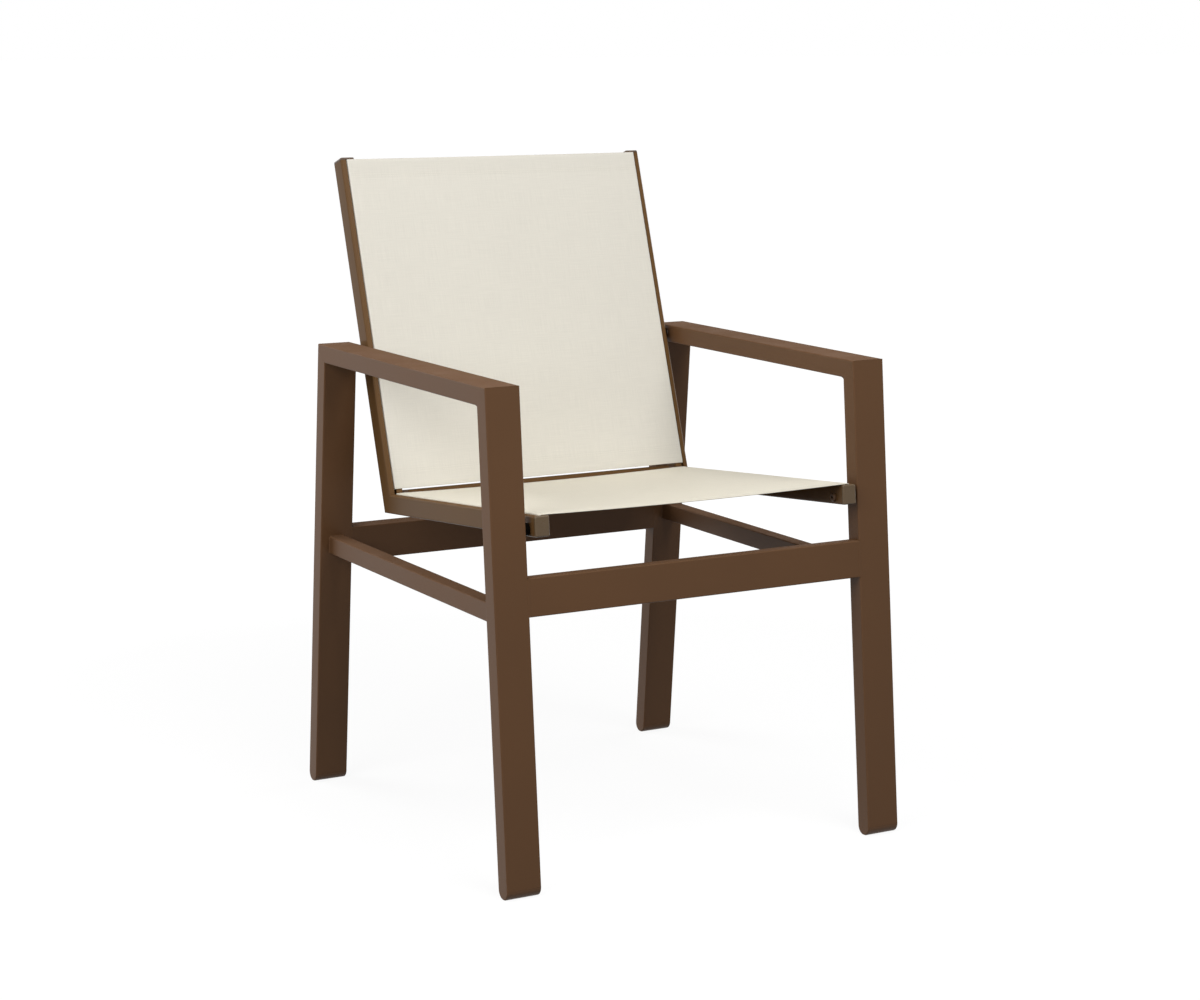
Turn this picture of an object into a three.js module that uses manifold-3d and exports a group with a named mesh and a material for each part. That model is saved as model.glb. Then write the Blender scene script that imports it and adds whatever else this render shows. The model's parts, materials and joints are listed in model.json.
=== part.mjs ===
import * as THREE from "three";
import { mergeVertices } from "three/addons/utils/BufferGeometryUtils.js";
import Module from "manifold-3d";

// Sling patio chair with a welded tube frame and two slings stretched between slotted rails.
// Millimetres and degrees. Z is up, the sitter faces -Y and the chair is mirrored about X = 0.

const wasm = await Module();
wasm.setup();

// Side frames: front leg, arm rail and rear leg of one rectangular tube.
const overallWidth = 605.2;
const armHeight = 650;
const floorDepth = 635.8;
const legRake = 5.01;
const tubeWidth = 49.2;
const tubeDepth = 25;
const tubeWall = 2;
const tubeCornerRadius = 1.6;
const tubeBoreRadius = 0.8;
const armFilletRadius = 7;

// Rails that join the side frames, with their middles below the bend of the sling rails.
const apronHeight = 50;
const frontApronBelowBend = 64.3;
const rearApronBelowBend = 88;
const stretcherWidth = 22.6;
const stretcherHeight = 25.2;
const stretcherBelowBend = 86.9;
const stretcherWall = 1.6;

// Foot plugs.
const footFlat = 0.5;
const footPlugLength = 22;
const footPlugRoot = 2;

// Slotted sling rails: a seat run that rises to the front and a leaning back run, joined in a mitre.
const railToLeg = 8.6;
const railWidth = 20.8;
const railDepth = 27;
const railWall = 2;
const railFrontRadius = 3;
const railRearRadius = 2;
const bendHeight = 445.3;
const seatRise = 5.4;
const backLean = 18.4;
const seatRailAheadOfFrontBolt = 18;
const backRailLength = 485.7;
const rearBoltAheadOfArmEnd = 29.4;
const slotInset = 7.5;
const slotWidth = 3.8;
const grooveDiameter = 6.6;
const grooveLip = 2;
const chamberTop = 10.4;

// Rail end caps.
const capThickness = 3.4;
const capBevel = 1.8;
const capPlugLength = 11;

// Corner keys.
const keyArmLength = 62;

// Spreader bars.
const spreaderSide = 20;
const spreaderWall = 1.5;
const spreaderCornerRadius = 2.4;
const spreaderPlugCollar = 8;
const spreaderPlugTenon = 16;
const pegDiameter = 6;
const pegReach = 11;
const washerThickness = 1.6;
const washerDiameter = 15;
const bendBarFront = 3.5;
const bendBarTop = 6;
const hiddenBarFront = 6.4;
const seatBarBehindBend = 170;
const backBarBelowTop = 56;

// Slings and their spline rods.
const slingThickness = 1.2;
const slingPocketWall = 0.7;
const slingHemNeck = 1.5;
const splineDiameter = 3.6;
const seatSlingRearSetback = 1.5;
const backSlingBottomSetback = 7.6;

// Fasteners.
const boltDiameter = 6;
const boltHeadDiameter = 11.5;
const boltHeadHeight = 3.6;
const boltHeadCrown = 1.2;
const boltSocketAcross = 4;
const boltSocketDepth = 2.2;
const boltEndProud = 2;
const spacerDiameter = 16;
const rivetNutDiameter = 9;
const rivetNutFlange = 13;
const rivetNutFlangeThickness = 1;
const rivetNutLength = 14;

// Clearances.
const jointGap = 0.3;
const slipGap = 0.3;
const overrun = 5;

// How finely curves are divided.
const roundSegments = 20;
const cornerSegments = 3;
const grooveSegments = 14;
const padSegments = 14;
const pegSegments = 10;
const splineSegments = 5;
const bevelSegments = 3;
const socketSides = 6;

// Finishes, as sRGB colours.
const paintedFrame = { color: 0x5c4431, roughness: 0.5, metalness: 0.35 };
const paintedRail = { color: 0x644d3c, roughness: 0.48, metalness: 0.35 };
const mouldedCap = { color: 0x64543f, roughness: 0.55, metalness: 0 };
const mouldedFoot = { color: 0x4a3527, roughness: 0.6, metalness: 0 };
const blackNylon = { color: 0x14100d, roughness: 0.7, metalness: 0 };
const backCloth = { color: 0xe4e1d6, roughness: 0.9, metalness: 0 };
const seatCloth = { color: 0xdcd7c8, roughness: 0.9, metalness: 0 };
const clearSpline = { color: 0xd8d6cd, roughness: 0.5, metalness: 0 };
const plainSteel = { color: 0xa8a6a0, roughness: 0.35, metalness: 1 };
const castKey = { color: 0x9a9c9e, roughness: 0.5, metalness: 0.9 };

const radians = THREE.MathUtils.degToRad;
const sides = { left: -1, right: 1 };

// Solids

function solidOf(geometry) {
  const bare = geometry.clone();
  bare.deleteAttribute("normal");
  bare.deleteAttribute("uv");
  const merged = mergeVertices(bare);
  const vertProperties = new Float32Array(merged.attributes.position.array);
  const triVerts = new Uint32Array(merged.index.array);
  return new wasm.Manifold(new wasm.Mesh({ numProp: 3, vertProperties, triVerts }));
}

function geometryOf(solid) {
  const mesh = solid.getMesh();
  const geometry = new THREE.BufferGeometry();
  geometry.setAttribute("position", new THREE.BufferAttribute(mesh.vertProperties, 3));
  geometry.setIndex(new THREE.BufferAttribute(mesh.triVerts, 1));
  const faceted = geometry.toNonIndexed();
  faceted.computeVertexNormals();
  return faceted;
}

function join(first, ...others) {
  return geometryOf(others.reduce((whole, next) => whole.add(solidOf(next)), solidOf(first)));
}

function cut(first, ...tools) {
  return geometryOf(tools.reduce((whole, tool) => whole.subtract(solidOf(tool)), solidOf(first)));
}

function extrude(shape, length, segments = cornerSegments) {
  return new THREE.ExtrudeGeometry(shape, { depth: length, bevelEnabled: false, curveSegments: segments });
}

// A rectangle with round corners.
function roundedRectangle(left, bottom, right, top, radius) {
  const quarter = Math.PI / 2;
  const shape = new THREE.Shape();
  shape.absarc(left + radius, bottom + radius, radius, 2 * quarter, 3 * quarter);
  shape.absarc(right - radius, bottom + radius, radius, 3 * quarter, 4 * quarter);
  shape.absarc(right - radius, top - radius, radius, 0, quarter);
  shape.absarc(left + radius, top - radius, radius, quarter, 2 * quarter);
  shape.closePath();
  return shape;
}

function centredSquare(side, radius) {
  return roundedRectangle(-side / 2, -side / 2, side / 2, side / 2, radius);
}

function disc(radius) {
  const shape = new THREE.Shape();
  shape.absarc(0, 0, radius, 0, 2 * Math.PI);
  return shape;
}

// Runs: each straight member follows a line in the side plane

// A run starts at a point of the side plane. Its zero face is the line itself, and "across"
// measures into the member's depth, towards the side given by the run's angle.
class Run {
  constructor(start, acrossAngle) {
    this.start = start;
    this.across = new THREE.Vector2(Math.cos(acrossAngle), Math.sin(acrossAngle));
    this.along = new THREE.Vector2(-this.across.y, this.across.x);
  }

  at(along, across) {
    return this.start.clone().addScaledVector(this.along, along).addScaledVector(this.across, across);
  }

  // How far along this run its line at one depth crosses another run's line at another depth.
  meets(other, ownAcross, otherAcross) {
    const gap = other.at(0, otherAcross).sub(this.at(0, ownAcross));
    return gap.dot(other.across) / this.along.dot(other.across);
  }

  // How much further along this run its mitre with the next run lies for each millimetre across.
  mitreSlope(next) {
    return Math.tan(this.along.angleTo(next.along) / 2) * Math.sign(this.along.cross(next.along));
  }

  // A frame with X sideways, Y across and Z along, for members that follow the run.
  lengthFrame() {
    return this.#frame([1, 0, 0], this.#lift(this.across), this.#lift(this.along));
  }

  // A frame with X across, Y along and Z sideways, for pieces that cross the run.
  crossFrame() {
    return this.#frame(this.#lift(this.across), this.#lift(this.along), [1, 0, 0]);
  }

  #lift(vector) {
    return [0, vector.x, vector.y];
  }

  #frame(...axes) {
    const frame = new THREE.Group();
    const [x, y, z] = axes.map((axis) => new THREE.Vector3(...axis));
    frame.setRotationFromMatrix(new THREE.Matrix4().makeBasis(x, y, z));
    frame.position.set(0, this.start.x, this.start.y);
    return frame;
  }
}

// Where a run reaches a height at a given depth.
function alongAtHeight(run, height, across) {
  return (height - run.at(0, across).y) / run.along.y;
}

const rake = radians(legRake);
const legOuter = overallWidth / 2;
const legInner = legOuter - tubeWidth;
const legMiddle = legOuter - tubeWidth / 2;
const armEndBehindFrontFoot = floorDepth - armHeight * Math.tan(rake);

const frontLegRun = new Run(new THREE.Vector2(0, 0), -rake);
const armRun = new Run(new THREE.Vector2(0, armHeight), radians(-90));
const rearLegRun = new Run(new THREE.Vector2(armEndBehindFrontFoot, armHeight), radians(180) + rake);

const railOuter = legInner - railToLeg;
const railInner = railOuter - railWidth;
const railMiddle = railOuter - railWidth / 2;
const chamberMiddle = (chamberTop + railDepth - railWall) / 2;

// The back run goes through the rear bolt, in the middle of the rail's chamber and of the arm.
const rearBolt = new THREE.Vector2(armEndBehindFrontFoot - rearBoltAheadOfArmEnd, armHeight - tubeDepth / 2);
const boltedBackRun = new Run(rearBolt, radians(-backLean));
const bendAlong = alongAtHeight(boltedBackRun, bendHeight, -chamberMiddle);
const backRun = new Run(boltedBackRun.at(bendAlong, -chamberMiddle), radians(-backLean));

const seatAngle = radians(-90 - seatRise);
const bendFromSeat = new Run(backRun.start, seatAngle);
const frontBoltToBend = -bendFromSeat.meets(frontLegRun, chamberMiddle, tubeDepth / 2);
const seatRailLength = seatRailAheadOfFrontBolt + frontBoltToBend;
const seatRun = new Run(bendFromSeat.at(-seatRailLength, 0), seatAngle);

const chair = new THREE.Group();

function add(frame, name, geometry, finish, position = [0, 0, 0]) {
  const mesh = new THREE.Mesh(geometry, new THREE.MeshStandardMaterial(finish));
  mesh.name = name;
  mesh.position.set(...position);
  frame.add(mesh);
  chair.add(frame);
  return mesh;
}

// A hollow member between two ends that may each be slanted across its depth.
function slantedMember(shape, start, end, startSlope = 0, endSlope = 0) {
  const geometry = extrude(shape, end - start);
  const place = geometry.attributes.position;
  const middle = (end - start) / 2;
  for (let i = 0; i < place.count; i += 1) {
    const slope = place.getZ(i) > middle ? endSlope : startSlope;
    place.setZ(i, start + place.getZ(i) + slope * place.getY(i));
  }
  return geometry;
}

function tubeShape(middle, width, depth, wall) {
  const half = width / 2;
  const outer = roundedRectangle(middle - half, 0, middle + half, depth, tubeCornerRadius);
  const bore = roundedRectangle(
    middle - half + wall,
    wall,
    middle + half - wall,
    depth - wall,
    tubeBoreRadius,
  );
  outer.holes.push(bore);
  return outer;
}

// A round piece whose profile is turned about X, starting at x and pointing to the given side.
function turnedAlongX(profile, side, x) {
  const points = profile.map(([radius, length]) => new THREE.Vector2(radius, length));
  const geometry = new THREE.LatheGeometry(points, roundSegments);
  geometry.rotateZ((-side * Math.PI) / 2);
  geometry.translate(x, 0, 0);
  return geometry;
}

function rod(radius, side, x, length) {
  return turnedAlongX([[0, 0], [radius, 0], [radius, length], [0, length]], side, x);
}

function ring(outer, inner, side, x, length) {
  return turnedAlongX([[inner, 0], [outer, 0], [outer, length], [inner, length], [inner, 0]], side, x);
}

// Fastening points in the side plane: the middle of the rail's chamber crosses that of the leg and arm
const fastenings = {
  front: seatRun.at(seatRailAheadOfFrontBolt, chamberMiddle),
  rear: rearBolt,
};

// A tool that drills along X on one side of the chair, in the drilled member's own frame.
function drillSide(frame, point, radius, side, nearX, farX) {
  const tool = rod(radius, 1, Math.min(side * nearX, side * farX), farX - nearX);
  tool.translate(0, point.x, point.y);
  frame.updateMatrixWorld(true);
  tool.applyMatrix4(frame.matrixWorld.clone().invert());
  return tool;
}

// Side frames

const footCentreHeight = tubeDepth / 2 - footFlat;
const frontLegStart = alongAtHeight(frontLegRun, footCentreHeight, tubeDepth / 2);
const rearLegEnd = alongAtHeight(rearLegRun, footCentreHeight, tubeDepth / 2);

function addSideFrame(name, side) {
  const shape = tubeShape(side * legMiddle, tubeWidth, tubeDepth, tubeWall);
  const nutHole = rivetNutDiameter / 2 + slipGap;
  const nutDrill = (frame, point) =>
    drillSide(frame, point, nutHole, side, legInner - overrun, legInner + overrun);

  const legFrame = frontLegRun.lengthFrame();
  const frontTop = frontLegRun.meets(armRun, 0, 0);
  const frontMitre = frontLegRun.mitreSlope(armRun);
  const plainFrontLeg = slantedMember(shape, frontLegStart, frontTop - jointGap / 2, 0, frontMitre);
  const frontLeg = cut(join(plainFrontLeg, cornerFillet(side)), nutDrill(legFrame, fastenings.front));
  add(legFrame, `${name}_front_leg`, frontLeg, paintedFrame);

  const armFrame = armRun.lengthFrame();
  const armStart = armRun.meets(frontLegRun, 0, 0);
  const armEnd = armRun.meets(rearLegRun, 0, 0);
  const arm = slantedMember(
    shape,
    armStart + jointGap / 2,
    armEnd - jointGap / 2,
    -frontMitre,
    armRun.mitreSlope(rearLegRun),
  );
  add(armFrame, `${name}_arm_rail`, cut(arm, nutDrill(armFrame, fastenings.rear)), paintedFrame);

  const rearFrame = rearLegRun.lengthFrame();
  const rearLeg = slantedMember(shape, jointGap / 2, rearLegEnd, -armRun.mitreSlope(rearLegRun), 0);
  add(rearFrame, `${name}_rear_leg`, rearLeg, paintedFrame);
}

// Turns a shape drawn across and along a run, and extruded, into the run's length frame.
const acrossAlongSideways = new THREE.Matrix4().makeBasis(
  new THREE.Vector3(0, 1, 0),
  new THREE.Vector3(0, 0, 1),
  new THREE.Vector3(1, 0, 0),
);

// The weld fillet in the corner between the front leg and the underside of the arm, in the leg's
// length frame. It belongs to the leg and stops a joint gap short of the arm.
function cornerFillet(side) {
  const innerCorner = frontLegRun.meets(armRun, tubeDepth, tubeDepth);
  const corner = new THREE.Vector2(tubeDepth, innerCorner - jointGap);
  const reach = armFilletRadius * Math.tan(frontLegRun.along.angleTo(armRun.along) / 2);
  const armDirection = new THREE.Vector2(
    armRun.along.dot(frontLegRun.across),
    armRun.along.dot(frontLegRun.along),
  );
  const underArm = corner.clone().addScaledVector(armDirection, reach);
  const insideWall = tubeWall / 2;
  const shape = new THREE.Shape();
  shape.moveTo(corner.x - insideWall, corner.y - reach);
  shape.lineTo(corner.x, corner.y - reach);
  shape.quadraticCurveTo(corner.x, corner.y, underArm.x, underArm.y);
  shape.lineTo(corner.x, corner.y);
  shape.lineTo(corner.x - insideWall, corner.y - insideWall);
  shape.closePath();
  const geometry = extrude(shape, tubeWidth - 2 * tubeCornerRadius);
  geometry.applyMatrix4(acrossAlongSideways);
  geometry.translate(side * legMiddle - tubeWidth / 2 + tubeCornerRadius, 0, 0);
  return geometry;
}

// Aprons and side stretchers

function addApron(name, run, middleHeight) {
  const along = alongAtHeight(run, middleHeight, tubeDepth / 2);
  const length = 2 * (legInner - jointGap);
  const shape = roundedRectangle(0, 0, tubeDepth, apronHeight, tubeCornerRadius);
  shape.holes.push(
    roundedRectangle(tubeWall, tubeWall, tubeDepth - tubeWall, apronHeight - tubeWall, tubeBoreRadius),
  );
  const geometry = extrude(shape, length);
  geometry.translate(0, along - apronHeight / 2, -length / 2);
  add(run.crossFrame(), name, geometry, paintedFrame);
}

function addStretcher(name, side) {
  const top = bendHeight - stretcherBelowBend + stretcherHeight / 2;
  const run = new Run(new THREE.Vector2(0, top), radians(-90));
  const start = run.meets(frontLegRun, 0, tubeDepth) + jointGap;
  const end = run.meets(rearLegRun, 0, tubeDepth) - jointGap;
  const lean = Math.tan(rake);
  const shape = tubeShape(side * legMiddle, stretcherWidth, stretcherHeight, stretcherWall);
  const stretcher = slantedMember(shape, start, end, -lean, lean);
  add(run.lengthFrame(), `${name}_side_stretcher`, stretcher, paintedFrame);
}

// Foot plugs: half-round pads, flush with the leg all round, with a plug up the leg and a narrow
// flat to stand on

function addFoot(name, side, run, legEnd, towardsFloor) {
  const radius = tubeDepth / 2;
  const frame = run.crossFrame();
  const pad = new THREE.Shape();
  const padAngle = towardsFloor > 0 ? 0 : Math.PI;
  const trim = 2 * tubeCornerRadius;
  pad.absarc(0, 0, radius, padAngle, padAngle + Math.PI);
  pad.lineTo(-towardsFloor * radius, -towardsFloor * trim);
  pad.lineTo(towardsFloor * radius, -towardsFloor * trim);
  pad.closePath();
  const padGeometry = new THREE.ExtrudeGeometry(pad, {
    depth: tubeWidth - 2 * tubeCornerRadius,
    bevelThickness: tubeCornerRadius,
    bevelSize: tubeCornerRadius,
    bevelOffset: -tubeCornerRadius,
    bevelSegments,
    curveSegments: padSegments,
  });
  const padBase = legEnd + towardsFloor * jointGap;
  padGeometry.translate(radius, padBase, tubeCornerRadius - tubeWidth / 2);
  const abovePad = new THREE.BoxGeometry(tubeDepth + 2 * overrun, 2 * overrun, tubeWidth + 2 * overrun);
  abovePad.translate(radius, padBase - towardsFloor * overrun, 0);

  const plugHalf = radius - tubeWall - slipGap;
  const plugWidth = tubeWidth - 2 * (tubeWall + slipGap);
  const plug = new THREE.BoxGeometry(2 * plugHalf, footPlugLength, plugWidth);
  plug.translate(radius, padBase + towardsFloor * (footPlugRoot - footPlugLength / 2), 0);

  const whole = join(cut(padGeometry, abovePad), plug);
  const floor = new THREE.BoxGeometry(tubeWidth + 2 * overrun, tubeDepth + 2 * overrun, tubeDepth);
  floor.translate(0, run.at(legEnd, radius).x, -tubeDepth / 2);
  frame.updateMatrixWorld(true);
  floor.applyMatrix4(frame.matrixWorld.clone().invert());
  const geometry = cut(whole, floor);
  add(frame, name, geometry, mouldedFoot, [0, 0, side * legMiddle]);
}

// Sling rails

const grooveRadius = grooveDiameter / 2;
const grooveMiddle = grooveLip + grooveRadius;
const slotMiddle = slotInset + slotWidth / 2;

// The outline of a rail section, with X sideways from the chair's middle and Y into the depth.
function railOutline(side, withGroove) {
  const quarter = Math.PI / 2;
  const points = [];
  const place = (inset, depth) => points.push(new THREE.Vector2(side * (railOuter - inset), depth));
  const arc = (inset, depth, radius, from, sweep, steps) => {
    for (let i = 0; i <= steps; i += 1) {
      const angle = from + (sweep * i) / steps;
      place(inset + radius * Math.cos(angle), depth + radius * Math.sin(angle));
    }
  };
  const corner = (inset, depth, radius, from) =>
    arc(inset, depth, radius, from, quarter, cornerSegments + 1);
  corner(railFrontRadius, railFrontRadius, railFrontRadius, 2 * quarter);
  if (withGroove) {
    const mouth = Math.asin(slotWidth / grooveDiameter);
    place(slotInset, 0);
    arc(slotMiddle, grooveMiddle, grooveRadius, -quarter - mouth, 2 * mouth - 4 * quarter, grooveSegments);
    place(slotInset + slotWidth, 0);
  }
  corner(railWidth - railRearRadius, railRearRadius, railRearRadius, 3 * quarter);
  corner(railWidth - railRearRadius, railDepth - railRearRadius, railRearRadius, 0);
  corner(railRearRadius, railDepth - railRearRadius, railRearRadius, quarter);
  return new THREE.Shape(points);
}

// The chamber behind the groove, or a plug that fills it but for a clearance all round.
function chamberShape(side, clearance) {
  const middle = side * railMiddle;
  const half = railWidth / 2 - railWall - clearance;
  const top = chamberTop + clearance;
  const bottom = railDepth - railWall - clearance;
  return roundedRectangle(middle - half, top, middle + half, bottom, tubeBoreRadius);
}

function railShape(side) {
  const shape = railOutline(side, true);
  shape.holes.push(chamberShape(side, 0));
  return shape;
}

const bendSlope = bendFromSeat.mitreSlope(backRun);
const pegHole = pegDiameter / 2 + slipGap;
const boltHole = boltDiameter / 2 + slipGap;

// The middles of the three spreader bars in the side plane.
const bars = {
  bend: { run: backRun, along: bendBarTop - spreaderSide / 2, front: bendBarFront },
  seat: { run: seatRun, along: seatRailLength - seatBarBehindBend, front: hiddenBarFront },
  back: { run: backRun, along: backRailLength - backBarBelowTop, front: hiddenBarFront },
};

function barMiddle(bar) {
  return bar.run.at(bar.along, bar.front + spreaderSide / 2);
}

function addRails(name, side) {
  const pegDrill = (frame, bar) =>
    drillSide(frame, barMiddle(bar), pegHole, side, railInner - overrun, railInner + railWall + slipGap);
  const boltDrill = (frame, point) =>
    drillSide(frame, point, boltHole, side, railInner - overrun, railOuter + overrun);

  const seatFrame = seatRun.lengthFrame();
  const seat = slantedMember(railShape(side), 0, seatRailLength - jointGap / 2, 0, bendSlope);
  const seatCuts = [boltDrill(seatFrame, fastenings.front), pegDrill(seatFrame, bars.seat)];
  add(seatFrame, `${name}_seat_rail`, cut(seat, ...seatCuts), paintedRail);

  const backFrame = backRun.lengthFrame();
  const back = slantedMember(railShape(side), jointGap / 2, backRailLength, -bendSlope, 0);
  const backCuts = [
    boltDrill(backFrame, fastenings.rear),
    pegDrill(backFrame, bars.bend),
    pegDrill(backFrame, bars.back),
  ];
  add(backFrame, `${name}_back_rail`, cut(back, ...backCuts), paintedRail);
}

function addCornerKey(name, side) {
  const top = chamberTop + slipGap;
  const bottom = railDepth - railWall - slipGap;
  const inner = bendFromSeat.meets(backRun, top, top);
  const outer = bendFromSeat.meets(backRun, bottom, bottom);
  const corners = [
    bendFromSeat.at(-keyArmLength, top),
    bendFromSeat.at(inner, top),
    backRun.at(keyArmLength, top),
    backRun.at(keyArmLength, bottom),
    bendFromSeat.at(outer, bottom),
    bendFromSeat.at(-keyArmLength, bottom),
  ];
  const width = railWidth - 2 * (railWall + slipGap);
  const frame = new Run(new THREE.Vector2(0, 0), 0).crossFrame();
  const geometry = extrude(new THREE.Shape(corners), width);
  geometry.translate(0, 0, side * railMiddle - width / 2);
  const middle = barMiddle(bars.bend);
  const hole = drillSide(frame, middle, pegHole, side, railInner - overrun, railOuter + overrun);
  add(frame, `${name}_corner_key`, cut(geometry, hole), castKey);
}

// A cap plate with eased outer edges and a plug that fills the rail's chamber.
function addRailCap(name, side, run, end, direction) {
  const plate = new THREE.ExtrudeGeometry(railOutline(side, false), {
    depth: capThickness - capBevel,
    bevelThickness: capBevel,
    bevelSize: capBevel,
    bevelOffset: -capBevel,
    bevelSegments,
    curveSegments: cornerSegments,
  });
  const seat = end + direction * jointGap;
  plate.translate(0, 0, direction > 0 ? seat : seat - capThickness + capBevel);
  const behindPlate = new THREE.BoxGeometry(railWidth + 2 * overrun, railDepth + 2 * overrun, 2 * overrun);
  behindPlate.translate(side * railMiddle, railDepth / 2, seat - direction * overrun);
  const plug = extrude(chamberShape(side, slipGap), capPlugLength + jointGap + capBevel);
  plug.translate(0, 0, direction > 0 ? end - capPlugLength : seat - capBevel);
  add(run.lengthFrame(), name, join(cut(plate, behindPlate), plug), mouldedCap);
}

// Spreader bars with an end plug and a washer at each end

function addSpreader(name, bar) {
  const plugOuter = railInner - slipGap - washerThickness - slipGap;
  const plugInner = plugOuter - spreaderPlugCollar;
  const barLength = 2 * (plugInner - jointGap);
  const bore = spreaderSide - 2 * spreaderWall;
  const shape = centredSquare(spreaderSide, spreaderCornerRadius);
  shape.holes.push(centredSquare(bore, tubeBoreRadius));
  const tube = extrude(shape, barLength);
  tube.translate(0, 0, -barLength / 2);
  const place = [bar.front + spreaderSide / 2, bar.along, 0];
  add(bar.run.crossFrame(), `${name}_spreader_bar`, tube, paintedFrame, place);

  for (const [sideName, side] of Object.entries(sides)) {
    const collar = extrude(centredSquare(spreaderSide, spreaderCornerRadius), spreaderPlugCollar);
    collar.translate(0, 0, side > 0 ? plugInner : -plugOuter);
    const tenonSide = bore - 2 * slipGap;
    const tenonLength = spreaderPlugTenon + spreaderPlugCollar / 2;
    const tenon = extrude(centredSquare(tenonSide, tubeBoreRadius), tenonLength);
    tenon.translate(0, 0, side > 0 ? plugInner - spreaderPlugTenon : -plugInner - spreaderPlugCollar / 2);
    const pegLength = pegReach + spreaderPlugCollar / 2;
    const peg = extrude(disc(pegDiameter / 2), pegLength, pegSegments);
    peg.translate(0, 0, side > 0 ? plugOuter - spreaderPlugCollar / 2 : -plugOuter - pegReach);
    const whole = join(collar, tenon, peg);
    add(bar.run.crossFrame(), `${sideName}_${name}_spreader_plug`, whole, mouldedCap, place);

    const washerShape = disc(washerDiameter / 2);
    washerShape.holes.push(disc(pegHole));
    const washer = extrude(washerShape, washerThickness, pegSegments);
    washer.translate(0, 0, side > 0 ? plugOuter + slipGap : -plugOuter - slipGap - washerThickness);
    add(bar.run.crossFrame(), `${sideName}_${name}_spreader_washer`, washer, blackNylon, place);
  }
}

// Slings: a flat panel on the rails whose side hems go down the slots and wrap the spline rods

function addSling(name, run, from, to, finish) {
  const length = to - from;
  const reach = railOuter - slotMiddle;
  const top = -(slipGap + slingThickness);
  const panel = new THREE.BoxGeometry(2 * reach + slingHemNeck, slingThickness, length);
  panel.translate(0, top + slingThickness / 2, from + length / 2);
  const pocketRadius = splineDiameter / 2 + slipGap + slingPocketWall;
  const pieces = [];
  const bores = [];
  for (const [sideName, side] of Object.entries(sides)) {
    const x = side * reach;
    const neckBottom = grooveMiddle - splineDiameter / 2 - slipGap;
    const neckHeight = neckBottom - top - slingThickness / 2;
    const neck = new THREE.BoxGeometry(slingHemNeck, neckHeight, length);
    neck.translate(x, neckBottom - neckHeight / 2, from + length / 2);
    const pocket = extrude(disc(pocketRadius), length, pegSegments);
    pocket.translate(x, grooveMiddle, from);
    pieces.push(neck, pocket);
    const bore = extrude(disc(splineDiameter / 2 + slipGap), length + 2 * overrun, pegSegments);
    bore.translate(x, grooveMiddle, from - overrun);
    bores.push(bore);
    const spline = extrude(disc(splineDiameter / 2), length, splineSegments);
    add(run.lengthFrame(), `${sideName}_${name}_spline`, spline, clearSpline, [x, grooveMiddle, from]);
  }
  add(run.lengthFrame(), `${name}_sling`, cut(join(panel, ...pieces), ...bores), finish);
}

// Frame fasteners: the bolt comes from inside the rail, through the spacer, into a rivet nut

function addFastening(sideName, side, placeName, point) {
  const frame = new THREE.Group();
  frame.position.set(0, point.x, point.y);
  const name = (piece) => `${sideName}_${placeName}_${piece}`;
  const flangeFace = legInner - slipGap - rivetNutFlangeThickness;
  const nutEnd = flangeFace + rivetNutLength;

  const headBase = railInner - slipGap - boltHeadHeight;
  const boltLength = nutEnd + boltEndProud - headBase;
  const headRadius = boltHeadDiameter / 2;
  const radius = boltDiameter / 2;
  const profile = [
    [0, 0],
    [headRadius - boltHeadCrown, 0],
    [headRadius, boltHeadCrown],
    [headRadius, boltHeadHeight],
    [radius, boltHeadHeight],
    [radius, boltLength],
    [0, boltLength],
  ];
  const bolt = turnedAlongX(profile, side, side * headBase);
  const socketRadius = boltSocketAcross / 2 / Math.cos(Math.PI / socketSides);
  const socket = new THREE.CylinderGeometry(socketRadius, socketRadius, 2 * boltSocketDepth, socketSides);
  socket.rotateZ(Math.PI / 2);
  socket.translate(side * headBase, 0, 0);
  add(frame, name("bolt"), cut(bolt, socket), paintedRail);

  const spacerStart = railOuter + slipGap;
  const spacerLength = flangeFace - slipGap - spacerStart;
  const spacer = ring(spacerDiameter / 2, boltHole, side, side * spacerStart, spacerLength);
  add(frame, name("spacer"), spacer, blackNylon);

  const nutProfile = [
    [boltHole, 0],
    [rivetNutFlange / 2, 0],
    [rivetNutFlange / 2, rivetNutFlangeThickness],
    [rivetNutDiameter / 2, rivetNutFlangeThickness],
    [rivetNutDiameter / 2, rivetNutLength],
    [boltHole, rivetNutLength],
    [boltHole, 0],
  ];
  add(frame, name("rivet_nut"), turnedAlongX(nutProfile, side, side * flangeFace), plainSteel);
}

addApron("front_apron_rail", frontLegRun, bendHeight - frontApronBelowBend);
addApron("rear_apron_rail", rearLegRun, bendHeight - rearApronBelowBend);

for (const [name, side] of Object.entries(sides)) {
  addSideFrame(name, side);
  addStretcher(name, side);
  addFoot(`${name}_front_foot`, side, frontLegRun, frontLegStart, -1);
  addFoot(`${name}_rear_foot`, side, rearLegRun, rearLegEnd, 1);
  addRails(name, side);
  addCornerKey(name, side);
  addRailCap(`${name}_seat_rail_cap`, side, seatRun, 0, -1);
  addRailCap(`${name}_back_rail_cap`, side, backRun, backRailLength, 1);
  for (const [placeName, point] of Object.entries(fastenings)) {
    addFastening(name, side, placeName, point);
  }
}

for (const [name, bar] of Object.entries(bars)) {
  addSpreader(name, bar);
}

addSling("back", backRun, backSlingBottomSetback, backRailLength, backCloth);
addSling("seat", seatRun, 0, seatRailLength - seatSlingRearSetback, seatCloth);

// The chair stands on the floor with the middle of its box over the origin.
chair.updateMatrixWorld(true);
const box = new THREE.Box3().setFromObject(chair, true);
chair.position.set(0, -(box.min.y + box.max.y) / 2, -box.min.z);

export default chair;
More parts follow.
